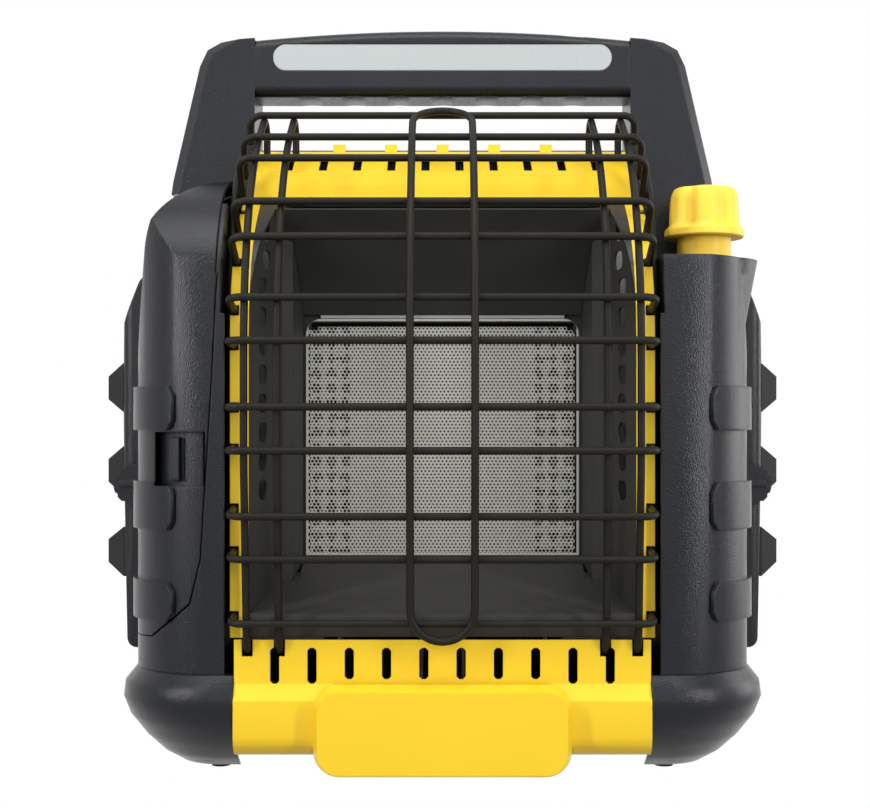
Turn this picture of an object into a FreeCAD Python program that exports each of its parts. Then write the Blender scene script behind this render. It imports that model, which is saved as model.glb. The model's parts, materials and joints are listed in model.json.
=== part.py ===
"""Portable radiant propane heater: one solid per bench piece, in millimetres.

+X is the viewer's right, +Y goes back into the heater and +Z is up. The origin is on the floor,
under the middle of the heater. The front faces -Y.
"""
import math
import os

import FreeCAD
import Part

V = FreeCAD.Vector
X_AXIS = V(1, 0, 0)
Y_AXIS = V(0, 1, 0)
Z_AXIS = V(0, 0, 1)
ORIGIN = V(0, 0, 0)

# Side casings: rounded in plan, with a domed top
CASE_INNER_X = 114.0
CASE_LIP_X = 112.0
CASE_OUTER_X = 165.0
CASE_FRONT_Y = -119.0
CASE_REAR_Y = 138.0
CASE_BOTTOM_Z = 54.0
CASE_TOP_Z = 319.0
CASE_WALL = 2.5
FRONT_CORNER = 48.0
REAR_CORNER = 30.0
SHOULDER_X = 152.5
SHOULDER_Z = 207.0
SHOULDER_RADIUS = 50.0
DOME_RADIUS = 75.0
BULKHEAD_Y = -8.0
BAND_RISE = 2.5
BAND_INNER_X = 139.6
BAND_REAR_Y = -38.0
BANDS = ((180.0, 203.0), (128.0, 153.0), (80.6, 101.0))

# Battery door on the left casing
DOOR_REAR_Y = -27.5
DOOR_GAP = 0.6
DOOR_SEAM = ((-113.5, 300.0), (-118.8, 199.5), (-124.2, 113.0), (-130.0, 90.0), (-151.4, 72.0))
DOOR_HINGE_X = -162.0
DOOR_HINGE_Y = -24.0
DOOR_GROOVE_Y = -20.0
HINGE_BARREL = 2.9
HINGE_PIN = 1.5
PIN_FIT = 0.05
WINDOW = (-150.0, -122.0, 151.0, 179.0)
LATCH_TRACK = (43.8, 41.2, 39.8)
LATCH_SPAN = (8.5, 48.5)

# Base
FOOT_RADIUS = 5.5
FOOT_X = 119.0
FOOT_Y = (-82.0, 98.0)
PAN_LOW_Z = 11.1
PAN_TOP_Z = 12.6
BUMPER_INNER_X = 107.0
BUMPER_WALL = 3.0
BUMPER_LEVELS = ((3.0, -24.0), (9.0, -14.0), (18.0, -4.5), (29.0, 4.0), (38.0, 7.5), (46.0, 6.5),
                 (54.0, 0.0))

# Yellow front sheet: lower panel, side flanges and hood
SHEET = 1.5
PANEL_HALF_WIDTH = 106.8
PANEL_FACE_Y = -121.0
PANEL_TOP_Z = 72.5
PANEL_CREASE_Z = 47.0
PANEL_BULGE_Y = -126.0
PANEL_BOTTOM_RADIUS = 11.0
SLOT_PITCH = 19.1
SLOTS_PER_ROW = 10
PANEL_SLOT_WIDTH = 4.7
PANEL_SLOT_TOP_Z = 68.4
PANEL_SLOT_LOW_Z = (50.0, 52.3)
BADGE_HALF_WIDTH = 63.5
BADGE_FACE_Y = -134.0
BADGE_Z = (5.5, 48.0)
BADGE_CORNER = 11.0
BADGE_DRAFT = 2.5
FLANGE_X = (100.4, 110.0)
FLANGE_FACE_Y = -113.0
FLANGE_BEND_Z = 228.0
FLANGE_BEND_RADIUS = 80.0
FLANGE_BEND = 57.0
HOOD_HALF_WIDTH = 107.0
HOOD_LIP = (-61.0, 306.5)
HOOD_EDGE = (-57.0, 322.5)
HOOD_RIDGE = (-24.0, 340.5)
HOOD_SLOT_WIDTH = 4.6
HOOD_SLOT_LENGTH = 29.0
HOOD_TAB_X = (-60.0, -30.0, 0.0, 30.0, 60.0)
HOOD_TAB_RISE = 5.5

# Dark steel recess with the burner at its back
LINER_SHEET = 1.2
LINER_PLAN = ((100.4, -111.5), (89.0, -59.0), (83.0, -56.0), (79.8, -27.0))
LINER_SLOT_PITCH = 15.4
LINER_SLOTS = 10
LINER_SLOT_TOP_Z = 291.0
LINER_SLOT_HEIGHT = 9.0
LINER_SLOT_Y = (-93.5, -85.5)
LIP_FACE_Y = -114.0
LIP_Z = (73.0, 85.0)
LIP_HALF_WIDTH = 99.8
SILL_REAR = (-28.0, 106.0)
DISH_TOP = (-72.0, 300.0)
DISH_LOW = (-28.5, 246.0)
SCREEN_Y = -27.0
SCREEN_HALF_WIDTH = 78.5
SCREEN_Z = (108.0, 244.0)
SCREEN_SHEET = 0.8
TILE_HALF_WIDTH = 71.0
TILE_Z = (114.0, 238.0)
PLENUM_REAR_Y = 24.0

# Wire guard: a leaning front, an upright middle and a top that curves back
WIRE = 4.0
GUARD_FRONT_Y = -139.0
GUARD_FOOT_Z = 81.6
GUARD_LEAN = math.radians(7.0)
GUARD_RUN = ((76.7, 0.0), (14.66, math.radians(7.0)), (47.0, 0.0), (154.9, math.radians(60.0)),
             (26.0, 0.0))
PAIR_PITCH = 33.3
PAIR_GAP = 22.0
CROSS_COUNT = 12
GUARD_HALF_WIDTH = 108.0
CROSS_BEND = 7.0
RAIL_X = 112.0
RAIL_POINTS = ((-97.0, 78.0), (-97.0, 258.0), (-81.0, 305.0), (-44.0, 343.0))
RAIL_BEND = 40.0
UPRIGHT_X = (83.5, 100.0)
HOOK_BEND = 10.0
UPRIGHT_DROP_Z = 324.0
UPRIGHT_TOP = 310.0
UPRIGHT_TAIL = 7.4
LOOP_HALF_WIDTH = 16.25
LOOP_START = 8.0
LOOP_END = 288.0

# Carrying handle with its lamp
ARM_Y = (-19.0, 21.0)
ARM_OUTLINE = ((109.0, 317.0), (158.0, 317.0), (157.0, 325.0), (141.5, 392.0), (137.0, 401.5),
               (129.0, 406.0), (109.0, 407.5))
ARM_WALL = 3.0
ARM_EDGE = 5.0
BAR_Y = (-19.0, 15.0)
BAR_BOTTOM_Z = 374.0
BAR_END_Z = 407.0
BAR_MIDDLE_Z = 412.5
BAR_WALL = 3.0
LENS_HALF_WIDTH = 98.5
LENS_Z = (388.5, 404.0)
LENS_DEPTH = 4.0
SCALLOP_PITCH = 26.0
SCALLOPS = 7

# Roof, rear wall and cylinder bays
ROOF_FRONT = (-14.0, 343.0)
ROOF_REAR_Z = 326.0
REAR_HALF_WIDTH = 108.6
REAR_VENTS = 9
BAY_INNER_X = 70.0
BAY_CENTRE = (124.0, 52.0)
BAY_OPENING_Y = (-5.2, 117.0)
BAY_OPENING_Z = (60.0, 269.0)
BAY_DOOR_Y = (-11.0, 125.0)
BAY_DOOR_Z = (57.0, 271.0)
BAY_DOOR_RIM_X = 165.6
BAY_DOOR_OUTER_X = 188.0
BAY_DOOR_FOOT_X = 184.5
BAY_DOOR_WALL = 3.0
BAY_HINGE = (170.0, 122.0)
BAY_EARS_Z = ((92.0, 102.0), (222.0, 232.0))
PAD_Z = (108.4, 156.0, 205.0)
PAD_BASE = (29.0, 86.0)
PAD_FACE = (13.5, 70.0)
PAD_RISE = 10.6
PAD_CENTRE_Y = 38.0
LATCH_X = 178.5
LATCH_Z = 148.7
LATCH_DISC_Y = (-19.5, -14.5)
LATCH_RADIUS = 12.3

# Gas controls
KNOB_X = 142.0
KNOB_Y = -74.0
WELL_RIM_Z = 271.0
WELL_REAR_Y = -44.0
WELL_RADIUS = 28.5
WELL_FOOT_RADIUS = 19.5
WELL_FOOT_Z = 223.0
WELL_FLOOR_Z = 240.0
KNOB_RADIUS = 21.5
KNOB_LOBES = 6
KNOB_SKIRT_Z = (284.0, 289.0)
KNOB_TOP_Z = 311.0
KNOB_NECK_RADIUS = 14.5
KNOB_NECK_Z = 262.0
KNOB_HUB_RADIUS = 7.0
STEM_RADIUS = 3.5
VALVE_TOP_Z = 208.0
SPRING_LOW_Z = 209.8
SPRING_TOP_Z = 226.0
COLLAR_TOP_Z = 229.0
SPRING_RADIUS = 6.2
SPRING_WIRE = 1.2
REGULATOR_PIVOT_Z = 284.0
INLET_MOUTH_Z = 250.0
INLET_RADIUS = 12.7
INLET_DEPTH = 14.0

# Battery compartment
CELL_RADIUS = 17.3
CELL_X = -137.0
CELL_Y = (-82.0, -45.5)
HOLDER_Z = (84.0, 214.0)

made = {}


def keep(name, shape):
    """Stores one sub-part under its node name."""
    made[name] = shape
    return shape


def box(x_low, x_high, y_low, y_high, z_low, z_high):
    """A block between two corners."""
    corner = V(x_low, y_low, z_low)
    return Part.makeBox(x_high - x_low, y_high - y_low, z_high - z_low, corner)


def rod(radius, start, end):
    """A round bar from one point to another."""
    run = end - start
    return Part.makeCylinder(radius, run.Length, start, run)


def mirrored(shape):
    """The same piece on the other side of the heater."""
    return shape.mirror(ORIGIN, X_AXIS)


def joined(shapes):
    """One solid from touching shapes, with its split faces merged."""
    whole = shapes[0].fuse(shapes[1:]) if len(shapes) > 1 else shapes[0]
    return whole.removeSplitter()


def group(shapes):
    """Separate solids kept together in one node."""
    return Part.makeCompound(shapes)


def polygon(points):
    """A flat face from corner points."""
    return Part.Face(Part.makePolygon(list(points) + [points[0]]))


def bent_edges(points, radii, closed=False):
    """Lines through the points, with an arc of the given radius at each corner."""
    count = len(points)
    starts = list(points)
    ends = list(points)
    arcs = {}
    for index in range(count):
        inner = closed or 0 < index < count - 1
        radius = radii[index]
        if not inner or not radius:
            continue
        corner = points[index]
        before = (points[index - 1] - corner).normalize()
        after = (points[(index + 1) % count] - corner).normalize()
        half = before.getAngle(after) / 2
        starts[index] = corner + before * (radius / math.tan(half))
        ends[index] = corner + after * (radius / math.tan(half))
        inward = (before + after).normalize()
        middle = corner + inward * (radius / math.sin(half) - radius)
        arcs[index] = Part.Arc(starts[index], middle, ends[index]).toShape()
    edges = []
    for index in range(count):
        if index in arcs:
            edges.append(arcs[index])
        if index == count - 1 and not closed:
            break
        following = starts[(index + 1) % count]
        if (following - ends[index]).Length > 1e-6:
            edges.append(Part.makeLine(ends[index], following))
    return edges


def rounded_face(corners):
    """A face from (point, corner radius) pairs."""
    points = [point for point, radius in corners]
    radii = [radius for point, radius in corners]
    return Part.Face(Part.Wire(bent_edges(points, radii, True)))


def wire_section(centre, along, across, width):
    """An eight-sided wire section at the start of a path."""
    side = across.normalize()
    up = along.cross(side).normalize()
    radius = width / 2 / math.cos(math.pi / 8)
    points = []
    for index in range(8):
        angle = math.pi * (index + 0.5) / 4
        points.append(centre + side * (radius * math.cos(angle)) + up * (radius * math.sin(angle)))
    return Part.makePolygon(points + [points[0]])


def swept_wire(edges, normal, width=WIRE):
    """An eight-sided wire along a flat path whose plane has the given normal."""
    path = Part.Wire(edges)
    start = edges[0].firstVertex().Point
    along = edges[0].tangentAt(edges[0].FirstParameter)
    shell = Part.BRepOffsetAPI.MakePipeShell(path)
    shell.setBiNormalMode(normal)
    shell.add(wire_section(start, along, V(normal), width))
    shell.build()
    shell.makeSolid()
    return shell.shape()


def slot_cutter(x, z_low, z_high, width, y_low, y_high):
    """An upright slot with bevelled ends, cut along Y."""
    half = width / 2
    nip = width * 0.3
    points = [V(x - half, y_low, z_low + nip), V(x - half + nip, y_low, z_low),
              V(x + half - nip, y_low, z_low), V(x + half, y_low, z_low + nip),
              V(x + half, y_low, z_high - nip), V(x + half - nip, y_low, z_high),
              V(x - half + nip, y_low, z_high), V(x - half, y_low, z_high - nip)]
    return polygon(points).extrude(V(0, y_high - y_low, 0))


def row_positions(pitch, count):
    """Positions of a row centred on zero."""
    return [pitch * (index - (count - 1) / 2) for index in range(count)]


def yz_plate(points, x_low, x_high):
    """A solid from an outline of (Y, Z) points, as wide as the two X values."""
    face = polygon([V(x_low, y, z) for y, z in points])
    return face.extrude(V(x_high - x_low, 0, 0))


def yz_sheet(points, thickness, x_low, x_high):
    """A sheet that follows (Y, Z) points; its thickness goes to the right of the walk."""
    return yz_plate(list(points) + offset_line(points, thickness)[::-1], x_low, x_high)


def offset_line(points, distance):
    """The same open line moved sideways, to the right of the walk."""
    moved = []
    for index, (u, w) in enumerate(points):
        before = points[max(index - 1, 0)]
        after = points[min(index + 1, len(points) - 1)]
        first = unit(u - before[0], w - before[1]) if index else unit(after[0] - u, after[1] - w)
        last = unit(after[0] - u, after[1] - w) if index < len(points) - 1 else first
        mean = unit(first[0] + last[0], first[1] + last[1])
        reach = distance / (mean[0] * first[0] + mean[1] * first[1])
        moved.append((u + mean[1] * reach, w - mean[0] * reach))
    return moved


def unit(u, w):
    """A direction of length one."""
    length = math.hypot(u, w)
    return (u / length, w / length)


def casing_plan(grow, inner_x, z):
    """Plan outline of the right side casing, grown outward by a distance."""
    outer = CASE_OUTER_X + grow
    front = CASE_FRONT_Y - grow
    rear = CASE_REAR_Y + grow
    return [(V(inner_x, rear, z), 0), (V(inner_x, front, z), 0),
            (V(outer, front, z), FRONT_CORNER + grow), (V(outer, rear, z), REAR_CORNER + grow)]


def casing_block(grow, inner_x, low_z):
    """Solid of the right side casing with its domed top, grown outward by a distance."""
    top = CASE_TOP_Z + grow
    outer = CASE_OUTER_X + grow
    plan = rounded_face(casing_plan(grow, inner_x, low_z)).extrude(V(0, 0, top - low_z + 5))
    front = CASE_FRONT_Y - grow
    rear = CASE_REAR_Y + grow
    outline = [(V(60, front - 1, low_z), 0), (V(outer, front - 1, low_z), 0),
               (V(outer, front - 1, SHOULDER_Z), 150.0),
               (V(SHOULDER_X + grow, front - 1, top), SHOULDER_RADIUS + grow),
               (V(60, front - 1, top), 0)]
    ends = rounded_face(outline).extrude(V(0, rear - front + 2, 0))
    side = [(V(inner_x - 1, front, low_z), 0), (V(inner_x - 1, front, top), DOME_RADIUS + grow),
            (V(inner_x - 1, rear, top), REAR_CORNER + grow), (V(inner_x - 1, rear, low_z), 0)]
    sides = rounded_face(side).extrude(V(outer - inner_x + 2, 0, 0))
    return plan.common(ends).common(sides)


def casing_bands():
    """Raised armour bands that run round the front corner of the right casing."""
    skin = casing_block(BAND_RISE, CASE_INNER_X, CASE_BOTTOM_Z)
    core = casing_block(-CASE_WALL, CASE_INNER_X, CASE_BOTTOM_Z - 2)
    ring = skin.cut(core)
    rings = []
    for low, high in BANDS:
        outline = [V(BAND_INNER_X + 3, -130, low), V(180, -130, low), V(180, -130, high),
                   V(BAND_INNER_X + 3, -130, high), V(BAND_INNER_X, -130, high - 5),
                   V(BAND_INNER_X, -130, low + 5)]
        slab = polygon(outline).extrude(V(0, BAND_REAR_Y + 130, 0))
        rings.append(ring.common(slab))
    return rings


def casing_shell():
    """Hollow right casing: a front column, a bulkhead and the cylinder bay behind it."""
    outer = casing_block(0, CASE_INNER_X, CASE_BOTTOM_Z)
    core = casing_block(-CASE_WALL, CASE_INNER_X + CASE_WALL, CASE_BOTTOM_Z + CASE_WALL)
    front_core = core.common(box(90, 200, -150, BULKHEAD_Y, 40, 340))
    bay = casing_block(-CASE_WALL, CASE_INNER_X - 5, CASE_BOTTOM_Z + CASE_WALL)
    rear_core = bay.common(box(90, 200, BULKHEAD_Y + CASE_WALL, 160, 40, 340))
    shell = outer.cut([front_core, rear_core])
    lip = box(CASE_LIP_X, CASE_INNER_X, CASE_FRONT_Y, CASE_FRONT_Y + CASE_WALL, CASE_BOTTOM_Z, 240)
    opening = box(140, 200, BAY_OPENING_Y[0], BAY_OPENING_Y[1], BAY_OPENING_Z[0], BAY_OPENING_Z[1])
    shell = shell.fuse(lip).cut(opening)
    pieces = [shell]
    for low, high in BAY_EARS_Z:
        ear = box(160, 173, BAY_HINGE[1] - 4, BAY_HINGE[1] + 3, low, high)
        bore = rod(HINGE_PIN, V(BAY_HINGE[0], BAY_HINGE[1], 80), V(BAY_HINGE[0], BAY_HINGE[1], 250))
        pieces.append(ear.cut(bore).cut(bay))
    return joined(pieces)


def bay_keeper():
    """Plate and peg on the right casing that the hook of the bay latch goes behind."""
    peg_x, peg_z = LATCH_X - 5.5, LATCH_Z - 4.6
    lug = box(CASE_OUTER_X, peg_x + 2, -7.0, -5.5, peg_z - 5, peg_z + 5)
    foot = box(CASE_OUTER_X, CASE_OUTER_X + 1.5, -7.0, -5.5, peg_z - 12, peg_z + 5)
    peg = rod(1.5, V(peg_x, -7.0, peg_z), V(peg_x, -1.5, peg_z))
    keeper = joined([lug, foot, peg])
    keep("bay_keeper_right", keeper)
    keep("bay_keeper_left", mirrored(keeper))


def door_region(gap, rear_y):
    """Everything in front of the seam of the battery door, moved by the gap."""
    points = [V(x - gap, -135, z + (gap if z < 100 else 0)) for x, z in DOOR_SEAM]
    outline = [V(-113.5 - gap, -135, 340)] + points + [V(-190, -135, 68 + gap), V(-190, -135, 340)]
    return polygon(outline).extrude(V(0, rear_y + 135, 0))


def corner_ring(outer, inner, z_low, z_high, start, end):
    """Part of a ring round the upright axis of the left front corner, between two angles."""
    centre = (-CASE_OUTER_X + FRONT_CORNER, CASE_FRONT_Y + FRONT_CORNER)
    turn = end - start
    ring = Part.makeCylinder(outer, z_high - z_low, V(*centre, z_low), Z_AXIS, turn)
    ring = ring.cut(rod(inner, V(*centre, z_low - 1), V(*centre, z_high + 1)))
    ring.rotate(V(*centre, 0), Z_AXIS, -90 - end)
    return ring


def side_casings():
    """Left casing with its battery door, and right casing with the knob well."""
    shell = casing_shell()
    bands = casing_bands()
    left = mirrored(shell)
    skin = casing_block(0, CASE_INNER_X - 3, CASE_BOTTOM_Z)
    hollow = casing_block(-CASE_WALL, CASE_INNER_X - 4, CASE_BOTTOM_Z - 1)
    door = mirrored(joined([skin.cut(hollow)] + bands)).common(door_region(DOOR_GAP, DOOR_REAR_Y))
    door = door.cut(mirrored(box(90, CASE_INNER_X + CASE_WALL + 0.5, -117, 0, 40, 340)))
    left = left.cut(door_region(0, DOOR_GROOVE_Y))
    inner_wall = box(-CASE_INNER_X - CASE_WALL, -CASE_INNER_X, -116.5, BULKHEAD_Y, 56, 300)
    left = joined([left, inner_wall.common(mirrored(casing_block(0, CASE_INNER_X, 54)))])
    x_low, x_high, z_low, z_high = WINDOW
    door = door.cut(box(x_low, x_high, -125, -98, z_low, z_high))
    axis = (DOOR_HINGE_X, DOOR_HINGE_Y)
    levels = (90.0, 130.0, 170.0, 210.0, 250.0)
    door_parts = [door]
    case_parts = [left]
    for index in range(4):
        low = levels[index] + 0.3
        high = levels[index + 1] - 0.3
        barrel = rod(HINGE_BARREL, V(axis[0], axis[1], low), V(axis[0], axis[1], high))
        if index % 2:
            leaf = box(axis[0] - 1.0, axis[0] + 1.6, DOOR_REAR_Y - 3, axis[1], low, high)
            bore = rod(HINGE_PIN + PIN_FIT, V(*axis, 80), V(*axis, 260))
            door_parts.append(barrel.fuse(leaf).cut(bore))
        else:
            leaf = box(axis[0] - 1.0, axis[0] + 1.6, axis[1], DOOR_GROOVE_Y + 3, low, high)
            bore = rod(HINGE_PIN, V(*axis, 80), V(*axis, 260))
            case_parts.append(barrel.fuse(leaf).cut(bore))
    low, high = LATCH_SPAN
    guides = []
    for z_edge, z_lip in ((WINDOW[2] - 4.0, WINDOW[2] - 4.0), (WINDOW[3] + 2.0, WINDOW[3] - 0.2)):
        guides.append(corner_ring(46.0, LATCH_TRACK[2], z_edge, z_edge + 2.0, low + 2.5, high + 2))
        guides.append(corner_ring(LATCH_TRACK[1] - 0.3, LATCH_TRACK[2], z_lip, z_lip + 4.2,
                                  low + 2.5, high + 2))
    keep("left_door", joined(door_parts + guides))
    whole = joined(case_parts)
    front_half = box(-200, -100, -160, BULKHEAD_Y, 40, 340)
    keep("battery_column", joined([whole.common(front_half)]))
    keep("left_casing", joined([whole.cut(front_half)]))
    keep("left_door_pin", rod(HINGE_PIN, V(*axis, 90.3), V(*axis, 249.7)))
    plate = corner_ring(*LATCH_TRACK[:2], WINDOW[2] - 1.7, WINDOW[3] + 1.7, low, high - 2)
    thumb = corner_ring(47.6, 43.0, WINDOW[2] + 3, WINDOW[3] - 3, 24, 31)
    keep("door_latch", joined([plate, thumb]))
    right_casing(shell, bands)
    bay_keeper()


def right_casing(shell, bands):
    """Right casing: its column is cut off at the rim of the well for the knob."""
    outer = joined([shell] + bands)
    cut_off = box(100, 200, -150, WELL_REAR_Y, WELL_RIM_Z, 340)
    body = outer.cut(cut_off)
    solid = casing_block(0, CASE_INNER_X, CASE_BOTTOM_Z)
    deck = solid.common(box(100, 200, -150, WELL_REAR_Y, WELL_RIM_Z - CASE_WALL, WELL_RIM_Z))
    wall = solid.common(box(100, 200, WELL_REAR_Y, WELL_REAR_Y + CASE_WALL, WELL_RIM_Z - 2, 340))
    centre = V(KNOB_X, KNOB_Y, WELL_FOOT_Z)
    height = WELL_RIM_Z - WELL_FOOT_Z
    cup = Part.makeCone(WELL_FOOT_RADIUS, WELL_RADIUS, height, centre, Z_AXIS)
    slope = (WELL_RADIUS - WELL_FOOT_RADIUS) / height
    low_radius = WELL_FOOT_RADIUS - CASE_WALL + slope * (WELL_FLOOR_Z - WELL_FOOT_Z)
    floor = V(KNOB_X, KNOB_Y, WELL_FLOOR_Z)
    rise = WELL_RIM_Z - WELL_FLOOR_Z
    hollow = Part.makeCone(low_radius, WELL_RADIUS - CASE_WALL, rise, floor, Z_AXIS)
    below = Part.makeCone(WELL_FOOT_RADIUS - CASE_WALL, low_radius - 0.6, 15,
                          V(KNOB_X, KNOB_Y, WELL_FOOT_Z - 0.5), Z_AXIS)
    bore = rod(KNOB_HUB_RADIUS + 3, V(KNOB_X, KNOB_Y, 215), V(KNOB_X, KNOB_Y, 250))
    casing = joined([body, deck, wall, cup]).cut([hollow, below, bore])
    front_half = box(100, 200, -160, BULKHEAD_Y, 40, 340)
    well_block = rod(WELL_RADIUS + 0.4, V(KNOB_X, KNOB_Y, 200), V(KNOB_X, KNOB_Y, WELL_RIM_Z + 5))
    column = casing.common(front_half)
    keep("knob_well", joined([column.common(well_block).common(casing_block(-CASE_WALL, 100, 60))]))
    keep("valve_column", joined([column.cut(made["knob_well"])]))
    keep("right_casing", joined([casing.cut(front_half)]))


def base():
    """Pan, rubber feet and the two moulded bumpers."""
    wing = rounded_face(casing_plan(-16.0, 100, PAN_LOW_Z)).extrude(V(0, 0, PAN_TOP_Z - PAN_LOW_Z))
    middle = box(-106, 106, -108, 128, PAN_LOW_Z, PAN_TOP_Z)
    keep("base_pan", joined([middle, wing, mirrored(wing)]))
    feet = []
    for x in (-FOOT_X, FOOT_X):
        for y in FOOT_Y:
            foot = Part.makeCone(FOOT_RADIUS - 0.6, FOOT_RADIUS + 1.5, PAN_LOW_Z, V(x, y, 0), Z_AXIS)
            feet.append(foot)
    keep("rubber_feet", group(feet))
    outer_wires = []
    inner_wires = []
    for z, grow in BUMPER_LEVELS:
        outer_wires.append(rounded_face(casing_plan(grow, BUMPER_INNER_X, z)).OuterWire)
        inner_z = z - 0.5 if z == BUMPER_LEVELS[0][0] else z
        inner = casing_plan(grow - BUMPER_WALL, BUMPER_INNER_X - 1, inner_z)
        inner_wires.append(rounded_face(inner).OuterWire)
    outer = Part.makeLoft(outer_wires, True, True)
    inner = Part.makeLoft(inner_wires, True, True)
    top = rounded_face(casing_plan(-1.0, BUMPER_INNER_X, 51.5)).extrude(V(0, 0, 2.5))
    hole = rounded_face(casing_plan(-12.0, BUMPER_INNER_X - 1, 50.0)).extrude(V(0, 0, 6))
    seat = rounded_face(casing_plan(-12.0, BUMPER_INNER_X, PAN_TOP_Z)).extrude(V(0, 0, 2.5))
    seat_hole = rounded_face(casing_plan(-25.0, BUMPER_INNER_X - 1, 10.0)).extrude(V(0, 0, 6))
    shell = outer.cut(inner)
    right = joined([shell, top.cut(hole), seat.cut(seat_hole)])
    keep("bumper_right", right)
    keep("bumper_left", mirrored(right))


def badge_outline(y, grow):
    """Rounded outline of the raised field on the lower panel."""
    half = BADGE_HALF_WIDTH + grow
    low = BADGE_Z[0] - grow
    high = BADGE_Z[1] + grow
    radius = BADGE_CORNER + grow
    corners = [V(-half, y, low), V(half, y, low), V(half, y, high), V(-half, y, high)]
    return rounded_face([(corner, radius) for corner in corners]).OuterWire


def front_panel():
    """Lower yellow panel with ten slots and a raised bare field."""
    crease = (PANEL_FACE_Y, PANEL_CREASE_Z + 3)
    bulge = (PANEL_BULGE_Y, PANEL_CREASE_Z - 5)
    points = [(PANEL_FACE_Y, PANEL_TOP_Z), crease, bulge]
    radius = PANEL_BOTTOM_RADIUS
    for step in range(5):
        angle = math.radians(22.5 * step)
        y = PANEL_BULGE_Y + radius * (1 - math.cos(angle))
        z = PAN_TOP_Z + radius * (1 - math.sin(angle))
        points.append((y, z))
    points.append((-104.0, PAN_TOP_Z))
    shell = yz_sheet(points, -SHEET, -PANEL_HALF_WIDTH, PANEL_HALF_WIDTH)
    raised = Part.makeLoft([badge_outline(BADGE_FACE_Y, 0), badge_outline(-124.7, BADGE_DRAFT)],
                           True, True)
    wall = SHEET
    hollow = Part.makeLoft([badge_outline(BADGE_FACE_Y + wall, -wall),
                            badge_outline(-120.0, BADGE_DRAFT - wall + 1)], True, True)
    skirt = raised.cut(hollow)
    panel = shell.cut(hollow).fuse(skirt)
    cutters = []
    for index, x in enumerate(row_positions(SLOT_PITCH, SLOTS_PER_ROW)):
        outer_pair = index < 2 or index >= SLOTS_PER_ROW - 2
        low = PANEL_SLOT_LOW_Z[0] if outer_pair else PANEL_SLOT_LOW_Z[1]
        cutters.append(slot_cutter(x, low, PANEL_SLOT_TOP_Z, PANEL_SLOT_WIDTH, -124.0, -117.0))
    for x in UPRIGHT_X:
        for side in (-x, x):
            cutters.append(box(side - 2.8, side + 2.8, -124, -115, 64.0, PANEL_TOP_Z + 1))
    keep("front_panel", panel.cut(cutters).removeSplitter())


def flange_profile():
    """Front line of the side flanges from the lower panel up to the hood, as (Y, Z) points."""
    points = [(FLANGE_FACE_Y, PANEL_TOP_Z)]
    for step in range(7):
        angle = math.radians(FLANGE_BEND * step / 6)
        y = FLANGE_FACE_Y + FLANGE_BEND_RADIUS * (1 - math.cos(angle))
        z = FLANGE_BEND_Z + FLANGE_BEND_RADIUS * math.sin(angle)
        points.append((y, z))
    return points + [(-62.0, 304.6)]


def front_frame():
    """Yellow flanges beside the recess, notched for the legs of the guard."""
    low, high = FLANGE_X
    strip = yz_sheet(flange_profile(), SHEET, LINER_PLAN[1][0], high)
    within = [V(x, y, 60) for x, y in LINER_PLAN[:2]] + [V(70, -59, 60), V(70, -125, 60),
                                                         V(low, -125, 60)]
    strip = strip.cut(polygon(within).extrude(V(0, 0, 300)))
    notches = []
    for y, z, heading in guard_crossings():
        notches.append(cross_place(box(105.4, 111, 2, 46, -2.7, 2.7), y, z, heading))
    strip = strip.cut(notches)
    keep("front_frame", group([strip, mirrored(strip)]))


def hood():
    """Yellow hood with a slotted slope and a row of upright tabs at its rear."""
    points = [HOOD_LIP, HOOD_EDGE, HOOD_RIDGE, (HOOD_RIDGE[0] + 9.0, HOOD_RIDGE[1] + 0.8)]
    sheet = yz_sheet(points, SHEET, -HOOD_HALF_WIDTH, HOOD_HALF_WIDTH)
    slope = math.atan2(HOOD_RIDGE[1] - HOOD_EDGE[1], HOOD_RIDGE[0] - HOOD_EDGE[0])
    cutters = []
    for x in row_positions(SLOT_PITCH, SLOTS_PER_ROW):
        middle_y = (HOOD_EDGE[0] + HOOD_RIDGE[0]) / 2
        half = HOOD_SLOT_LENGTH / 2 * math.cos(slope)
        cutters.append(box(x - HOOD_SLOT_WIDTH / 2, x + HOOD_SLOT_WIDTH / 2, middle_y - half,
                           middle_y + half, 315, 345))
    for x in UPRIGHT_X:
        for side in (-x, x):
            drop_y = guard_point(0, UPRIGHT_TOP, WIRE + HOOK_BEND).y + HOOK_BEND
            cutters.append(rod(WIRE / 2 + 0.8, V(side, drop_y, 320), V(side, drop_y, 345)))
    tabs = []
    rear = HOOD_RIDGE[0] + 7.5
    shield = [(-56.0, 304.5), (-51.0, 311.5), (-16.0, 328.0)]
    keep("heat_shield", yz_sheet(shield, LINER_SHEET, -104, 104))
    for x in HOOD_TAB_X:
        tabs.append(box(x - 3.5, x + 3.5, rear, rear + SHEET, HOOD_RIDGE[1] - 0.6,
                        HOOD_RIDGE[1] + HOOD_TAB_RISE))
    keep("hood", joined([sheet.cut(cutters)] + tabs))


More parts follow.
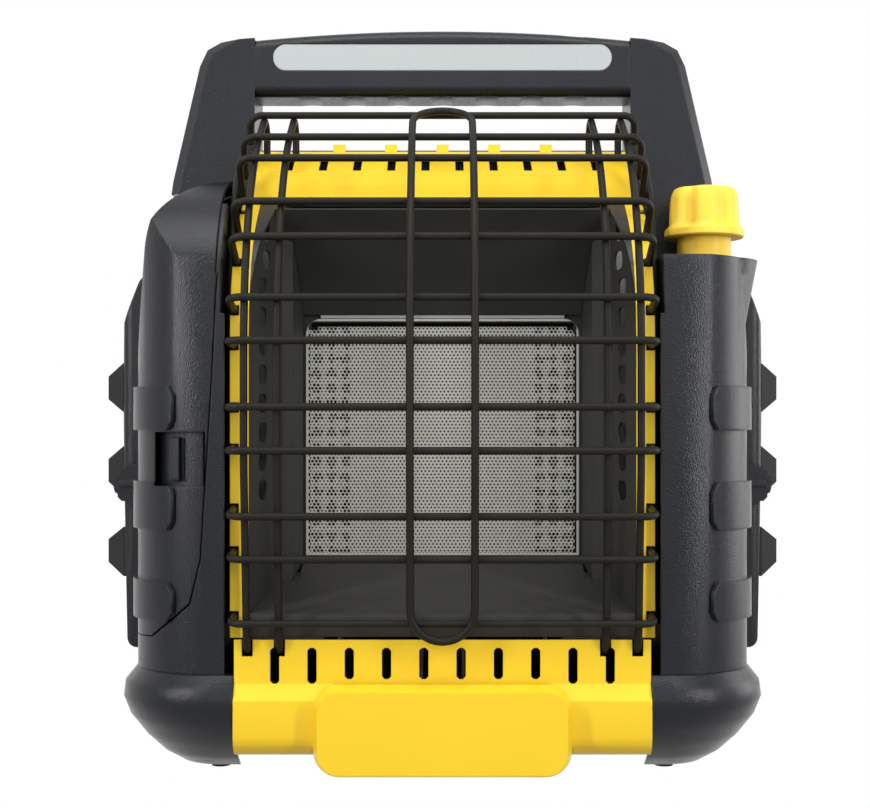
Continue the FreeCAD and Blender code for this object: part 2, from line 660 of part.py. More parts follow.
def recess():
    """Side walls, sill and sloping reflector round the burner."""
    outer = [(x + LINER_SHEET, y) for x, y in LINER_PLAN]
    plan = [V(x, y, 84) for x, y in LINER_PLAN] + [V(x, y, 84) for x, y in outer[::-1]]
    wall = polygon(plan).extrude(V(0, 0, 232))
    behind = offset_line(flange_profile(), SHEET)
    roof = [(behind[0][0], 84.0)] + behind[1:] + [(-26.0, 304.0), (-26.0, 106.0), (-76.0, 90.5)]
    wall = wall.common(yz_plate(roof, 70, 110))
    cutters = []
    for index in range(LINER_SLOTS):
        high = LINER_SLOT_TOP_Z - LINER_SLOT_PITCH * index
        shift = 6.0 if high > 270 else 0.0
        cutters.append(box(90, 99.5, LINER_SLOT_Y[0] + shift, LINER_SLOT_Y[1] + shift,
                           high - LINER_SLOT_HEIGHT, high))
    wall = wall.cut(cutters)
    keep("recess_liner", group([wall, mirrored(wall)]))
    rise = [(LIP_FACE_Y, LIP_Z[0]), (LIP_FACE_Y, LIP_Z[1] - 2), (LIP_FACE_Y + 2, LIP_Z[1]),
            (-60.0, 97.0)]
    wide = yz_sheet(rise, SHEET, -LIP_HALF_WIDTH, LIP_HALF_WIDTH)
    narrow = yz_sheet([(-61.5, 96.65), SILL_REAR], SHEET, -79.6, 79.6)
    outline = [V(LINER_PLAN[0][0] - 0.1, -111.5, 60), V(LINER_PLAN[1][0] - 0.1, -59, 60),
               V(LINER_PLAN[2][0] - 0.1, -50, 60), V(130, -50, 60), V(130, -111.5, 60)]
    side = polygon(outline).extrude(V(0, 0, 60))
    trim = [side, mirrored(side)]
    keep("lower_lip", joined([wide, narrow]).cut(trim))
    dish = [DISH_TOP, (-62.0, 291.0), (-42.0, 268.0), (-34.0, 257.0), DISH_LOW]
    sheet = yz_sheet(dish, -LINER_SHEET, -99, 99)
    inside = polygon([V(-LINER_PLAN[0][0], -112, 230), V(-LINER_PLAN[1][0] + 0.1, -59, 230),
                      V(-LINER_PLAN[2][0] + 0.1, -56, 230), V(-79.7, -27, 230), V(79.7, -27, 230),
                      V(LINER_PLAN[2][0] - 0.1, -56, 230), V(LINER_PLAN[1][0] - 0.1, -59, 230),
                      V(LINER_PLAN[0][0], -112, 230)])
    keep("reflector_dish", sheet.common(inside.extrude(V(0, 0, 90))))


def burner():
    """Screen, ceramic tile and the gas box behind it, with its tube and jet."""
    low, high = SCREEN_Z
    half = SCREEN_HALF_WIDTH
    corners = [(V(-half, SCREEN_Y, low), 0), (V(half, SCREEN_Y, low), 0),
               (V(half, SCREEN_Y, high), 9.0), (V(-half, SCREEN_Y, high), 9.0)]
    sheet = rounded_face(corners).extrude(V(0, SCREEN_SHEET, 0))
    keep("burner_screen", sheet)
    keep("screen_top_rail", box(-70, 70, SCREEN_Y, -24.5, high + 0.3, high + 5.0))
    box_front = -24.5
    case = box(-77, 77, box_front, -6.5, 103, 243).fuse(box(-62, 62, -7, PLENUM_REAR_Y, 112, 234))
    space = box(-75.5, 75.5, box_front - 1, -8, 104.5, 241.5)
    space = space.fuse(box(-60.5, 60.5, -9, PLENUM_REAR_Y - 1.5, 113.5, 232.5))
    inlet = rod(9.4, V(0, PLENUM_REAR_Y - 4, 128), V(0, PLENUM_REAR_Y + 4, 128))
    spacers = [box(x - 3, x + 3, SCREEN_Y + SCREEN_SHEET, box_front + 1, z, z + 8)
               for x in (-73.5, 73.5) for z in (112.0, 228.0)]
    flange = box(-84, 84, box_front, box_front + 1.2, 98, 256)
    flange = flange.cut(box(-76, 76, box_front - 1, box_front + 2, 104, 242))
    rim = box(-75.5, 75.5, -13.5, -12.0, 104.5, 241.5)
    rim = rim.cut(box(-TILE_HALF_WIDTH, TILE_HALF_WIDTH, -14, -11, *TILE_Z))
    keep("burner_plenum", joined([case.cut(space), rim, flange] + spacers).cut(inlet))
    tile = box(-TILE_HALF_WIDTH, TILE_HALF_WIDTH, -20.0, -9.5, *TILE_Z)
    grooves = [box(x - 1.2, x + 1.2, -21, -18.0, TILE_Z[0] + 4, TILE_Z[1] - 4)
               for x in row_positions(16.0, 8)]
    keep("burner_tile", tile.cut(grooves))
    tube = [V(0, PLENUM_REAR_Y, 128), V(0, 62, 128), V(0, 62, 40)]
    edges = bent_edges(tube, [0, 22.0, 0])
    outer = swept_wire(edges, X_AXIS, 22.0)
    bore = swept_wire(edges, X_AXIS, 19.0)
    keep("venturi_tube", outer.cut(bore))
    jet = rod(5.0, V(0, 62, 22), V(0, 62, 34)).fuse(Part.makeCone(5, 2, 5, V(0, 62, 34), Z_AXIS))
    keep("gas_jet", jet.cut(rod(0.6, V(0, 62, 20), V(0, 62, 42))))
    stand = box(-12, 12, 50, 74, PAN_TOP_Z, 22)
    legs = [box(-14, -12, 54, 70, PAN_TOP_Z, 60), box(12, 14, 54, 70, PAN_TOP_Z, 60)]
    keep("jet_bracket", joined([stand] + legs))


def valve_spring():
    """Coil spring between the valve and the collar, made of short ruled lengths."""
    turns = 4
    steps = 10
    half = SPRING_WIRE / 2
    low = SPRING_LOW_Z + half
    rise = SPRING_TOP_Z - SPRING_LOW_Z - SPRING_WIRE
    sections = []
    for index in range(turns * steps + 1):
        angle = 2 * math.pi * index / steps
        z = low + rise * index / (turns * steps)
        out = V(math.cos(angle), math.sin(angle), 0)
        inner = V(KNOB_X, KNOB_Y, z) + out * (SPRING_RADIUS - half)
        outer = V(KNOB_X, KNOB_Y, z) + out * (SPRING_RADIUS + half)
        up = V(0, 0, half)
        sections.append(Part.makePolygon([inner - up, outer - up, outer + up, inner + up,
                                          inner - up]))
    return Part.makeLoft(sections, True, True)


def gas_parts():
    """Valve, tubes and the two swivelling cylinder inlets."""
    valve = box(KNOB_X - 13, KNOB_X + 13, KNOB_Y - 13, KNOB_Y + 13, 166, VALVE_TOP_Z)
    valve = valve.fuse(rod(9, V(KNOB_X, KNOB_Y, 150), V(KNOB_X, KNOB_Y, 166)))
    boss = rod(7.0, V(KNOB_X, KNOB_Y + 10, 184), V(KNOB_X, BULKHEAD_Y, 184))
    stem_bore = rod(STEM_RADIUS + PIN_FIT, V(KNOB_X, KNOB_Y, 188), V(KNOB_X, KNOB_Y, 212))
    keep("control_valve", joined([valve, boss]).cut(stem_bore))
    stem = rod(STEM_RADIUS, V(KNOB_X, KNOB_Y, 196), V(KNOB_X, KNOB_Y, 299))
    seat = rod(8.0, V(KNOB_X, KNOB_Y, VALVE_TOP_Z + 0.4), V(KNOB_X, KNOB_Y, SPRING_LOW_Z))
    stem = joined([stem, seat])
    keep("valve_stem", stem)
    ring = rod(8.5, V(KNOB_X, KNOB_Y, SPRING_TOP_Z), V(KNOB_X, KNOB_Y, COLLAR_TOP_Z))
    ring_bore = rod(STEM_RADIUS + PIN_FIT, V(KNOB_X, KNOB_Y, 220), V(KNOB_X, KNOB_Y, 240))
    keep("push_collar", ring.cut(ring_bore))
    keep("valve_spring", valve_spring())
    knob = rod(KNOB_RADIUS - 2.2, V(KNOB_X, KNOB_Y, KNOB_SKIRT_Z[1]), V(KNOB_X, KNOB_Y, KNOB_TOP_Z))
    lobes = []
    for index in range(KNOB_LOBES):
        angle = 2 * math.pi * (index + 0.5) / KNOB_LOBES
        x = KNOB_X + (KNOB_RADIUS + 1.5) * math.cos(angle)
        y = KNOB_Y + (KNOB_RADIUS + 1.5) * math.sin(angle)
        lobes.append(rod(6.6, V(x, y, KNOB_SKIRT_Z[1] + 2), V(x, y, KNOB_TOP_Z + 1)))
    knob = knob.cut(lobes)
    bevel = Part.makeCone(KNOB_RADIUS + 3, KNOB_RADIUS - 5, 8, V(KNOB_X, KNOB_Y, KNOB_TOP_Z - 8),
                          Z_AXIS)
    sleeve = rod(KNOB_RADIUS + 5, V(KNOB_X, KNOB_Y, 240), V(KNOB_X, KNOB_Y, KNOB_TOP_Z - 8))
    knob = knob.common(bevel.fuse(sleeve))
    skirt = rod(KNOB_RADIUS, V(KNOB_X, KNOB_Y, KNOB_SKIRT_Z[0]), V(KNOB_X, KNOB_Y, KNOB_SKIRT_Z[1]))
    neck = rod(KNOB_NECK_RADIUS, V(KNOB_X, KNOB_Y, KNOB_NECK_Z), V(KNOB_X, KNOB_Y, KNOB_SKIRT_Z[0] + 1))
    hub = rod(KNOB_HUB_RADIUS, V(KNOB_X, KNOB_Y, COLLAR_TOP_Z), V(KNOB_X, KNOB_Y, KNOB_NECK_Z + 1))
    bore = rod(STEM_RADIUS + PIN_FIT, V(KNOB_X, KNOB_Y, 220), V(KNOB_X, KNOB_Y, 304))
    keep("control_knob", joined([knob, skirt, neck, hub]).cut(bore))
    bay_x, bay_y = BAY_CENTRE
    pivot = REGULATOR_PIVOT_Z
    body = joined([rod(17, V(bay_x, bay_y, INLET_MOUTH_Z), V(bay_x, bay_y, INLET_MOUTH_Z + 18)),
                   rod(12, V(bay_x, bay_y, INLET_MOUTH_Z + 18), V(bay_x, bay_y, pivot - 9.5)),
                   box(bay_x - 5, bay_x + 5, bay_y - 6.5, bay_y + 6.5, pivot - 11, pivot),
                   rod(7, V(bay_x, bay_y - 6.5, pivot), V(bay_x, bay_y + 6.5, pivot))])
    thread = rod(INLET_RADIUS, V(bay_x, bay_y, INLET_MOUTH_Z - 1),
                 V(bay_x, bay_y, INLET_MOUTH_Z + INLET_DEPTH))
    pin_bore = rod(3.05, V(bay_x, bay_y - 12, pivot), V(bay_x, bay_y + 12, pivot))
    regulator = body.cut(thread).cut(pin_bore)
    keep("regulator_right", regulator)
    keep("regulator_left", mirrored(regulator))
    pin = rod(3.0, V(bay_x, bay_y - 11, pivot), V(bay_x, bay_y + 11, pivot))
    cheeks = []
    for side in (-10.5, 7.5):
        eye = rod(8.0, V(bay_x, bay_y + side, pivot), V(bay_x, bay_y + side + 3, pivot))
        cheeks.append(eye.fuse(box(bay_x - 8, bay_x + 8, bay_y + side, bay_y + side + 3, pivot, 296)))
    bridge = box(bay_x - 8, bay_x + 8, bay_y - 10.5, bay_y + 10.5, 296, 299)
    rail = box(BAY_INNER_X - 12, bay_x + 8, bay_y - 5, bay_y + 5, 299, 302)
    bracket = joined(cheeks + [bridge, rail, pin])
    beam = box(-BAY_INNER_X + 10, BAY_INNER_X - 10, bay_y - 5, bay_y + 5, 299, 302)
    posts = [box(x - 1.5, x + 1.5, bay_y - 5, bay_y + 5, PAN_TOP_Z, 299) for x in (-64, 64)]
    keep("gas_manifold", joined([bracket, mirrored(bracket), beam] + posts))


def bays():
    """Sheet walls of the cylinder bays, with their doors, hinge pins, pads and latches."""
    low = CASE_BOTTOM_Z + 3
    y_low = BULKHEAD_Y + CASE_WALL
    inner = box(BAY_INNER_X, BAY_INNER_X + 1, y_low, 135, low, 294)
    front = box(BAY_INNER_X, CASE_INNER_X, y_low, y_low + 1, low, 294)
    floor = box(BAY_INNER_X, CASE_INNER_X, y_low, 135, low - 1, low)
    liner = joined([inner, front, floor])
    keep("bay_liner_right", liner)
    keep("bay_liner_left", mirrored(liner))
    y_front, y_rear = BAY_DOOR_Y
    z_low, z_high = BAY_DOOR_Z
    rim, outer = BAY_DOOR_RIM_X, BAY_DOOR_OUTER_X
    foot = BAY_DOOR_FOOT_X

    def block(inset, rim_x):
        plan = [(V(rim_x, y_front + inset, 0), 0), (V(outer - inset, y_front + inset, 0), 7.0 - inset),
                (V(outer - inset, y_rear - inset, 0), 14.0), (V(rim_x, y_rear - inset, 0), 0)]
        front_view = [(V(150, -50, z_low + inset), 0), (V(rim, -50, z_low + inset), 0),
                      (V(foot - inset, -50, z_low - 6.5 + inset), 6.0),
                      (V(outer - inset, -50, 200), 0),
                      (V(outer - inset - 1.0, -50, 243), 0),
                      (V(176 - inset, -50, z_high - inset), 8.0),
                      (V(rim_x, -50, z_high - inset), 0)]
        prism = rounded_face(plan).extrude(V(0, 0, 330))
        return prism.common(rounded_face(front_view).extrude(V(0, 220, 0)))

    skin = block(0, 150).cut(casing_block(0.6, 100, 40)).cut(box(140, rim, 92, 140, 40, 330))
    door = skin.cut(block(BAY_DOOR_WALL, 149))
    axis_x, axis_y = BAY_HINGE
    for low_z, high_z in BAY_EARS_Z:
        door = door.cut(box(160, 174.5, axis_y - 5, 130, low_z - 11.5, high_z + 1.0))
    pieces = [door]
    for low_z, high_z in BAY_EARS_Z:
        barrel = rod(3.2, V(axis_x, axis_y, low_z - 10), V(axis_x, axis_y, low_z - 0.5))
        leaf = box(axis_x, 186, axis_y - 1.5, axis_y + 2, low_z - 10, low_z - 0.5)
        knuckle = barrel.fuse(leaf.common(skin))
        pieces.append(knuckle.cut(rod(HINGE_PIN + PIN_FIT, V(axis_x, axis_y, 70),
                                      V(axis_x, axis_y, 240))))
    stem_hole = rod(3.05, V(LATCH_X, -13, LATCH_Z), V(LATCH_X, -6, LATCH_Z))
    door = joined(pieces).cut(stem_hole)
    keep("bay_door_right", door)
    keep("bay_door_left", mirrored(door))
    pins = [rod(HINGE_PIN, V(axis_x, axis_y, low_z - 10), V(axis_x, axis_y, high_z))
            for low_z, high_z in BAY_EARS_Z]
    keep("bay_door_pins_right", group(pins))
    keep("bay_door_pins_left", group([mirrored(pin) for pin in pins]))
    pads = []
    for z in PAD_Z:
        wires = []
        reach = ((175.0, PAD_BASE), (outer, PAD_BASE), (outer + PAD_RISE, PAD_FACE))
        for x, (tall, long) in reach:
            y_a = PAD_CENTRE_Y - long / 2
            y_b = PAD_CENTRE_Y + long / 2
            z_a = z - tall / 2
            z_b = z + tall / 2
            wires.append(Part.makePolygon([V(x, y_a, z_a), V(x, y_b, z_a), V(x, y_b, z_b),
                                           V(x, y_a, z_b), V(x, y_a, z_a)]))
        pads.append(Part.makeLoft(wires, True, True).cut(skin))
    keep("bay_pads_right", group(pads))
    keep("bay_pads_left", group([mirrored(pad) for pad in pads]))
    centre = V(LATCH_X, LATCH_DISC_Y[0], LATCH_Z)
    disc = rod(LATCH_RADIUS, centre, V(LATCH_X, LATCH_DISC_Y[1], LATCH_Z))
    grip = box(LATCH_X - 9, LATCH_X + 9, LATCH_DISC_Y[0] - 2.0, LATCH_DISC_Y[0], LATCH_Z - 1.5,
               LATCH_Z + 1.5)
    stem = rod(3.0, V(LATCH_X, LATCH_DISC_Y[1], LATCH_Z), V(LATCH_X, -1.0, LATCH_Z))
    hook = rod(14.5, V(LATCH_X, -4.5, LATCH_Z), V(LATCH_X, -1.5, LATCH_Z))
    hook = hook.cut(rod(11.0, V(LATCH_X, -5, LATCH_Z), V(LATCH_X, -1, LATCH_Z)))
    wedge = [V(LATCH_X, -5, LATCH_Z)]
    for degrees in (70, 107, 145):
        angle = math.radians(degrees)
        wedge.append(V(LATCH_X + 22 * math.cos(angle), -5, LATCH_Z + 22 * math.sin(angle)))
    hook = hook.common(polygon(wedge).extrude(V(0, 5, 0)))
    arm = box(LATCH_X - 2.5, LATCH_X + 2.5, -4.5, -1.5, LATCH_Z, LATCH_Z + 12)
    knurls = []
    for index in range(12):
        angle = 2 * math.pi * index / 12
        x = LATCH_X + (LATCH_RADIUS + 0.6) * math.cos(angle)
        z = LATCH_Z + (LATCH_RADIUS + 0.6) * math.sin(angle)
        knurls.append(rod(1.4, V(x, LATCH_DISC_Y[0] - 1, z), V(x, LATCH_DISC_Y[1] + 1, z)))
    latch = joined([disc.cut(knurls), grip, stem, hook, arm])
    keep("bay_latch_right", latch)
    keep("bay_latch_left", mirrored(latch))


def rear_casing():
    """Roof, rear wall and the closing sheet between the hood and the handle."""
    rear = CASE_REAR_Y
    points = [(ROOF_FRONT[0], 330.0), ROOF_FRONT, (100.0, ROOF_REAR_Z + 4), (rear - 14, ROOF_REAR_Z),
              (rear - 3, ROOF_REAR_Z - 12), (rear, ROOF_REAR_Z - 30), (rear, PAN_TOP_Z)]
    sheet = yz_sheet(points, CASE_WALL, -REAR_HALF_WIDTH, REAR_HALF_WIDTH)
    foot = box(-REAR_HALF_WIDTH + 3, REAR_HALF_WIDTH - 3, 122, rear - CASE_WALL, PAN_TOP_Z,
               PAN_TOP_Z + 2.5)
    cutters = []
    for index in range(REAR_VENTS):
        z = 300 - 9.5 * index
        cutters.append(box(-62, -6, rear - 5, rear + 2, z, z + 4))
        cutters.append(box(6, 62, rear - 5, rear + 2, z, z + 4))
    edge = box(BUMPER_INNER_X - 0.1, 120, 100, rear + 5, 0, CASE_BOTTOM_Z + 0.1)
    cutters += [edge, mirrored(edge)]
    keep("rear_casing", joined([sheet, foot]).cut(cutters))


def handle():
    """Two raked arms, the grip bar, its lamp and the lamp switch."""
    y_low, y_high = ARM_Y
    outline = polygon([V(x, y_low, z) for x, z in ARM_OUTLINE])
    arm = outline.extrude(V(0, y_high - y_low, 0))

    def raked(edge):
        box_ = edge.BoundBox
        along = box_.YLength < 0.01 and box_.ZMin > 319.5 and box_.XMin > 110
        return along and edge.Length > 5

    arm = arm.makeChamfer(ARM_EDGE, [edge for edge in arm.Edges if raked(edge)])
    low_block = casing_block(0, 100, 200)
    arm = arm.cut(low_block)
    keep("handle_arm_right", arm)
    keep("handle_arm_left", mirrored(arm))
    y_low, y_high = BAR_Y
    half = ARM_OUTLINE[0][0]
    rise = BAR_MIDDLE_Z - BAR_END_Z
    radius = (half * half + rise * rise) / (2 * rise)
    top = Part.Arc(V(half, y_low, BAR_END_Z), V(0, y_low, BAR_MIDDLE_Z),
                   V(-half, y_low, BAR_END_Z)).toShape()
    rest = Part.makePolygon([V(-half, y_low, BAR_END_Z), V(-half, y_low, BAR_BOTTOM_Z),
                             V(half, y_low, BAR_BOTTOM_Z), V(half, y_low, BAR_END_Z)])
    face = Part.Face(Part.Wire([top] + rest.Edges))
    bar = face.extrude(V(0, y_high - y_low, 0))

    def long_edge(edge):
        return edge.BoundBox.XLength > 200

    bar = bar.makeFillet(6.0, [edge for edge in bar.Edges if long_edge(edge)])
    inner = box(-half + 3, half - 3, y_low + 6, y_high - 4, BAR_BOTTOM_Z + 4, BAR_END_Z - 4)
    z_low, z_high = LENS_Z

    def lens_outline(y, grow):
        reach = LENS_HALF_WIDTH + grow
        low = z_low - grow
        high = z_high + grow
        size = (high - low) / 2 * 0.98
        corners = [V(-reach, y, low), V(reach, y, low), V(reach, y, high), V(-reach, y, high)]
        return rounded_face([(corner, size) for corner in corners])

    pocket = lens_outline(y_low - 1, 0.0).extrude(V(0, LENS_DEPTH + 1.01, 0))
    window = lens_outline(y_low, -2.5).extrude(V(0, 8, 0))
    scoops = [rod(30, V(x, y_low - 2, BAR_BOTTOM_Z - 29.2), V(x, y_high + 2, BAR_BOTTOM_Z - 29.2))
              for x in row_positions(SCALLOP_PITCH, SCALLOPS)]
    switch_x = 70.0
    hole = box(switch_x - 8.3, switch_x + 8.3, y_high - 5, y_high + 1, 386.7, 397.3)
    bar = bar.cut([inner, pocket, window, hole] + scoops)
    keep("handle_bar", bar)
    lens = lens_outline(y_low + 0.4, -0.15).extrude(V(0, LENS_DEPTH - 0.4, 0))
    keep("lamp_lens", lens)
    board = box(-90, 90, y_low + 8, y_low + 9.6, 391, 402.5)
    ends = [box(x - 3, x + 3, y_low + 6, y_low + 12, BAR_BOTTOM_Z + 4, 392) for x in (-84, 84)]
    lamps = [box(x - 2.5, x + 2.5, y_low + 7, y_low + 8, 394.0, 399.0)
             for x in row_positions(24.0, 7)]
    keep("led_board", joined([board] + ends + lamps))
    button = box(switch_x - 8, switch_x + 8, y_high - 3.5, y_high + 2.5, 387, 397)
    stop = box(switch_x - 9.5, switch_x + 9.5, y_high - 6.5, y_high - 4.3, 386, 398)
    neck = box(switch_x - 8, switch_x + 8, y_high - 5, y_high - 3, 387, 397)
    keep("light_switch_button", joined([button, stop, neck]))


def battery_parts():
    """Cell holder behind the battery door, with its contact strips."""
    z_low, z_high = HOLDER_Z
    x_inner = -CASE_INNER_X - CASE_WALL
    block = box(-154.5, x_inner, -105.0, -26.0, z_low, z_high)
    centre = (-CASE_OUTER_X + FRONT_CORNER, CASE_FRONT_Y + FRONT_CORNER)
    round_front = rod(LATCH_TRACK[2] - 2.7, V(*centre, z_low - 1), V(*centre, z_high + 1))
    block = block.common(round_front.fuse(box(-160, x_inner, centre[1], 0, z_low - 1, z_high + 1)))
    wells = []
    for y in CELL_Y:
        wells.append(rod(CELL_RADIUS, V(CELL_X, y, z_low + 3), V(CELL_X, y, z_high - 3)))
        wells.append(box(-170, CELL_X, y - CELL_RADIUS + 0.8, y + CELL_RADIUS - 0.8, z_low + 3,
                         z_high - 3))
    keep("battery_holder", block.cut(wells))
    strips = []
    for z in (z_low + 3, z_high - 3.6):
        for y in CELL_Y:
            strips.append(box(CELL_X - 7, CELL_X + 7, y - 10, y + 10, z, z + 0.6))
    keep("battery_contacts", group(strips))


def guard_place(s):
    """Y, Z and lean-back angle of the guard's middle surface at a distance along its profile."""
    y = GUARD_FRONT_Y + (GUARD_RUN[0][0] * math.sin(GUARD_LEAN)
                         + GUARD_RUN[1][0] * math.sin(GUARD_LEAN / 2))
    z = GUARD_FOOT_Z
    heading = -GUARD_LEAN
    for length, turn in GUARD_RUN:
        step = min(s, length)
        if turn:
            radius = length / turn
            swung = step / radius
            y += radius * (math.cos(heading) - math.cos(heading + swung))
            z += radius * (math.sin(heading + swung) - math.sin(heading))
            heading += swung
        else:
            y += step * math.sin(heading)
            z += step * math.cos(heading)
        s -= step
        if s <= 0:
            break
    return y, z, heading


def guard_point(x, s, inward):
    """A point on the guard, moved towards the burner by a distance."""
    y, z, heading = guard_place(s)
    return V(x, y + inward * math.cos(heading), z - inward * math.sin(heading))


def guard_edges(x, start, end, inward):
    """Lines and arcs up the guard's profile between two distances."""
    edges = []
    begin = 0.0
    for length, turn in GUARD_RUN:
        low = max(start, begin)
        high = min(end, begin + length)
        begin += length
        if high - low < 0.01:
            continue
        first = guard_point(x, low, inward)
        last = guard_point(x, high, inward)
        if turn:
            middle = guard_point(x, (low + high) / 2, inward)
            edges.append(Part.Arc(first, middle, last).toShape())
        else:
            edges.append(Part.makeLine(first, last))
    return edges


def guard_crossings():
    """Places of the twelve cross wires, in six close pairs."""
    places = []
    s = 0.0
    for index in range(CROSS_COUNT):
        places.append(guard_place(s))
        s += PAIR_GAP if index % 2 else PAIR_PITCH
    return places


def cross_place(shape, y, z, heading):
    """Moves a shape drawn flat at the origin to a place on the guard."""
    placed = shape.copy()
    placed.rotate(ORIGIN, X_AXIS, -math.degrees(heading))
    placed.translate(V(0, y, z))
    return placed


def rail_depth(y, z, heading):
    """Length of a cross wire's leg, from the guard's surface to the side rail."""
    best = None
    for (y1, z1), (y2, z2) in zip(RAIL_POINTS, RAIL_POINTS[1:]):
        run = (y2 - y1, z2 - z1)
        aim = (math.cos(heading), -math.sin(heading))
        scale = aim[0] * run[1] - aim[1] * run[0]
        reach = ((y1 - y) * run[1] - (z1 - z) * run[0]) / scale
        along = ((y1 - y) * aim[1] - (z1 - z) * aim[0]) / scale
        if -0.05 <= along <= 1.05 and reach > 0:
            best = reach if best is None else max(best, reach)
    return best if best else 22.0


def guard():
    """Wire guard: cross wires with legs, uprights, the front loop and the side rails."""
    crosses = []
    for index, (y, z, heading) in enumerate(guard_crossings()):
        half = GUARD_HALF_WIDTH
        bend = CROSS_BEND
        leg = rail_depth(y, z, heading) + 2.5
        points = [V(-half, leg, 0), V(-half, 0, 0), V(half, 0, 0), V(half, leg, 0)]
        wire = swept_wire(bent_edges(points, [0, bend, bend, 0]), Z_AXIS)
        crosses.append(cross_place(wire, y, z, heading))
    keep("guard_cross_wires", group(crosses))
    uprights = []
    for x in UPRIGHT_X:
        for side in (-x, x):
            uprights.append(upright(side))
    keep("guard_uprights", group(uprights))
    half = LOOP_HALF_WIDTH
    pieces = []
    for side in (-half, half):
        pieces.append(swept_wire(guard_edges(side, LOOP_START, LOOP_END, -WIRE - 0.005), X_AXIS))
    for s, sign in ((LOOP_START, -1), (LOOP_END, 1)):
        heading = guard_place(s)[2]
        middle = guard_point(0, s, -WIRE - 0.005)
        left = guard_point(-half, s, -WIRE - 0.005)
        right = guard_point(half, s, -WIRE - 0.005)
        out = V(0, math.sin(heading), math.cos(heading)) * (half * sign)
        arc = Part.Arc(left, middle + out, right).toShape()
        pieces.append(swept_wire([arc], V(0, math.cos(heading), -math.sin(heading))))
    keep("guard_loop", joined(pieces))
    rails = []
    for x in (-RAIL_X, RAIL_X):
        path = bent_edges([V(x, y, z) for y, z in RAIL_POINTS], [0, RAIL_BEND, RAIL_BEND, 0])
        rails.append(swept_wire(path, X_AXIS))
    keep("guard_side_rails", group(rails))


def upright(x):
    """One upright: hooked into the panel, up the guard and down into the hood."""
    top = UPRIGHT_TOP
    run = guard_edges(x, 0.0, top, WIRE)
    lean = GUARD_LEAN
    start = guard_point(x, 0.0, WIRE)
    first = start + V(0, math.sin(lean), -math.cos(lean)) * UPRIGHT_TAIL
    run = [Part.makeLine(first, start)] + run
    last = guard_point(x, top, WIRE)
    bend = HOOK_BEND
    sweep = math.pi / 2 - lean
    centre = first + V(0, bend * math.cos(lean), bend * math.sin(lean))
    mid_angle = math.pi + lean + sweep / 2
    middle = centre + V(0, bend * math.cos(mid_angle), bend * math.sin(mid_angle))
    low = centre + V(0, 0, -bend)
    hook = Part.Arc(low, middle, first).toShape()
    tail = Part.makeLine(low + V(0, 14, 0), low)
    heading = guard_place(top)[2]
    turn = V(0, math.cos(heading), -math.sin(heading))
    top_centre = last + turn * bend
    end = top_centre + V(0, bend, 0)
    direction = (-turn + V(0, 1, 0)).normalize()
    peak = top_centre + direction * bend
    arch = Part.Arc(last, peak, end).toShape()
    drop = Part.makeLine(end, V(x, end.y, UPRIGHT_DROP_Z))
    return swept_wire([tail, hook] + run + [arch, drop], X_AXIS)


def build():
    """Makes every sub-part and writes its file."""
    base()
    front_panel()
    front_frame()
    hood()
    recess()
    burner()
    side_casings()
    gas_parts()
    bays()
    rear_casing()
    handle()
    battery_parts()
    guard()
    os.makedirs("parts", exist_ok=True)
    for name, shape in made.items():
        shape.exportStep("parts/" + name + ".step")
        solids = shape.Solids
        print(name, len(solids), "solids", round(shape.Volume / 1000, 2), "cm3", shape.isValid())


build()
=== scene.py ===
# %% [markdown]
# # Portable propane heater: the looks
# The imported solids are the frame: they fix every size, place and joint. This lesson gives them
# their surfaces, and swaps in finer pieces where a round wire, a punched hole or a smooth curve
# shows: the wire guard, the burner screen, the knob and the slots of the recess.
# Lengths are in metres, +X is the viewer's right, +Y goes back and +Z is up.

# %% Load the frame
import json
import math

import bmesh
import bpy
from mathutils import Matrix, Vector


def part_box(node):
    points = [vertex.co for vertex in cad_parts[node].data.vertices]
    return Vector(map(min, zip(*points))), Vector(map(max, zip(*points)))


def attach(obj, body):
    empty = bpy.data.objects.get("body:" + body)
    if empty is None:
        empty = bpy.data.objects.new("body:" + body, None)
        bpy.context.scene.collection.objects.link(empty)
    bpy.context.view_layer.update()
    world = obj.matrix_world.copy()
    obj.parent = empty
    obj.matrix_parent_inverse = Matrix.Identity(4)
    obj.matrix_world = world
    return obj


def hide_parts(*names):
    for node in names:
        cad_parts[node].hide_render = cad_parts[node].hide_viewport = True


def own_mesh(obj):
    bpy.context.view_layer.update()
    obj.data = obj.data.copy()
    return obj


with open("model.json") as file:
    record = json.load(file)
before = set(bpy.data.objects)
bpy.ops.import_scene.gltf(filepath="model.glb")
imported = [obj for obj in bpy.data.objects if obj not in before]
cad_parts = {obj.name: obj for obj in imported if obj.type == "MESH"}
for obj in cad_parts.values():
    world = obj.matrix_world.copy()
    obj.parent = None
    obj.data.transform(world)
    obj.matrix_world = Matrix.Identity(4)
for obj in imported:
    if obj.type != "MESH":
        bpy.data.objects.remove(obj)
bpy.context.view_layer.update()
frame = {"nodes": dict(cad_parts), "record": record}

# %% [markdown]
# ## The camera
# The photograph was taken from low down and close to the front. The lens was worked out from how
# the left and right edges draw together with depth, and the two shifts put the vanishing point
# where the photograph has it, a little below and right of the picture's middle.

# %% Camera
PHOTO_WIDTH = 870
PHOTO_HEIGHT = 808
VANISHING_X = 442.5
VANISHING_Y = 430.0
CAMERA_PLACE = (0.0, -0.889, 0.180)
SENSOR = 36.0
FOCAL_PIXELS = 1500.0

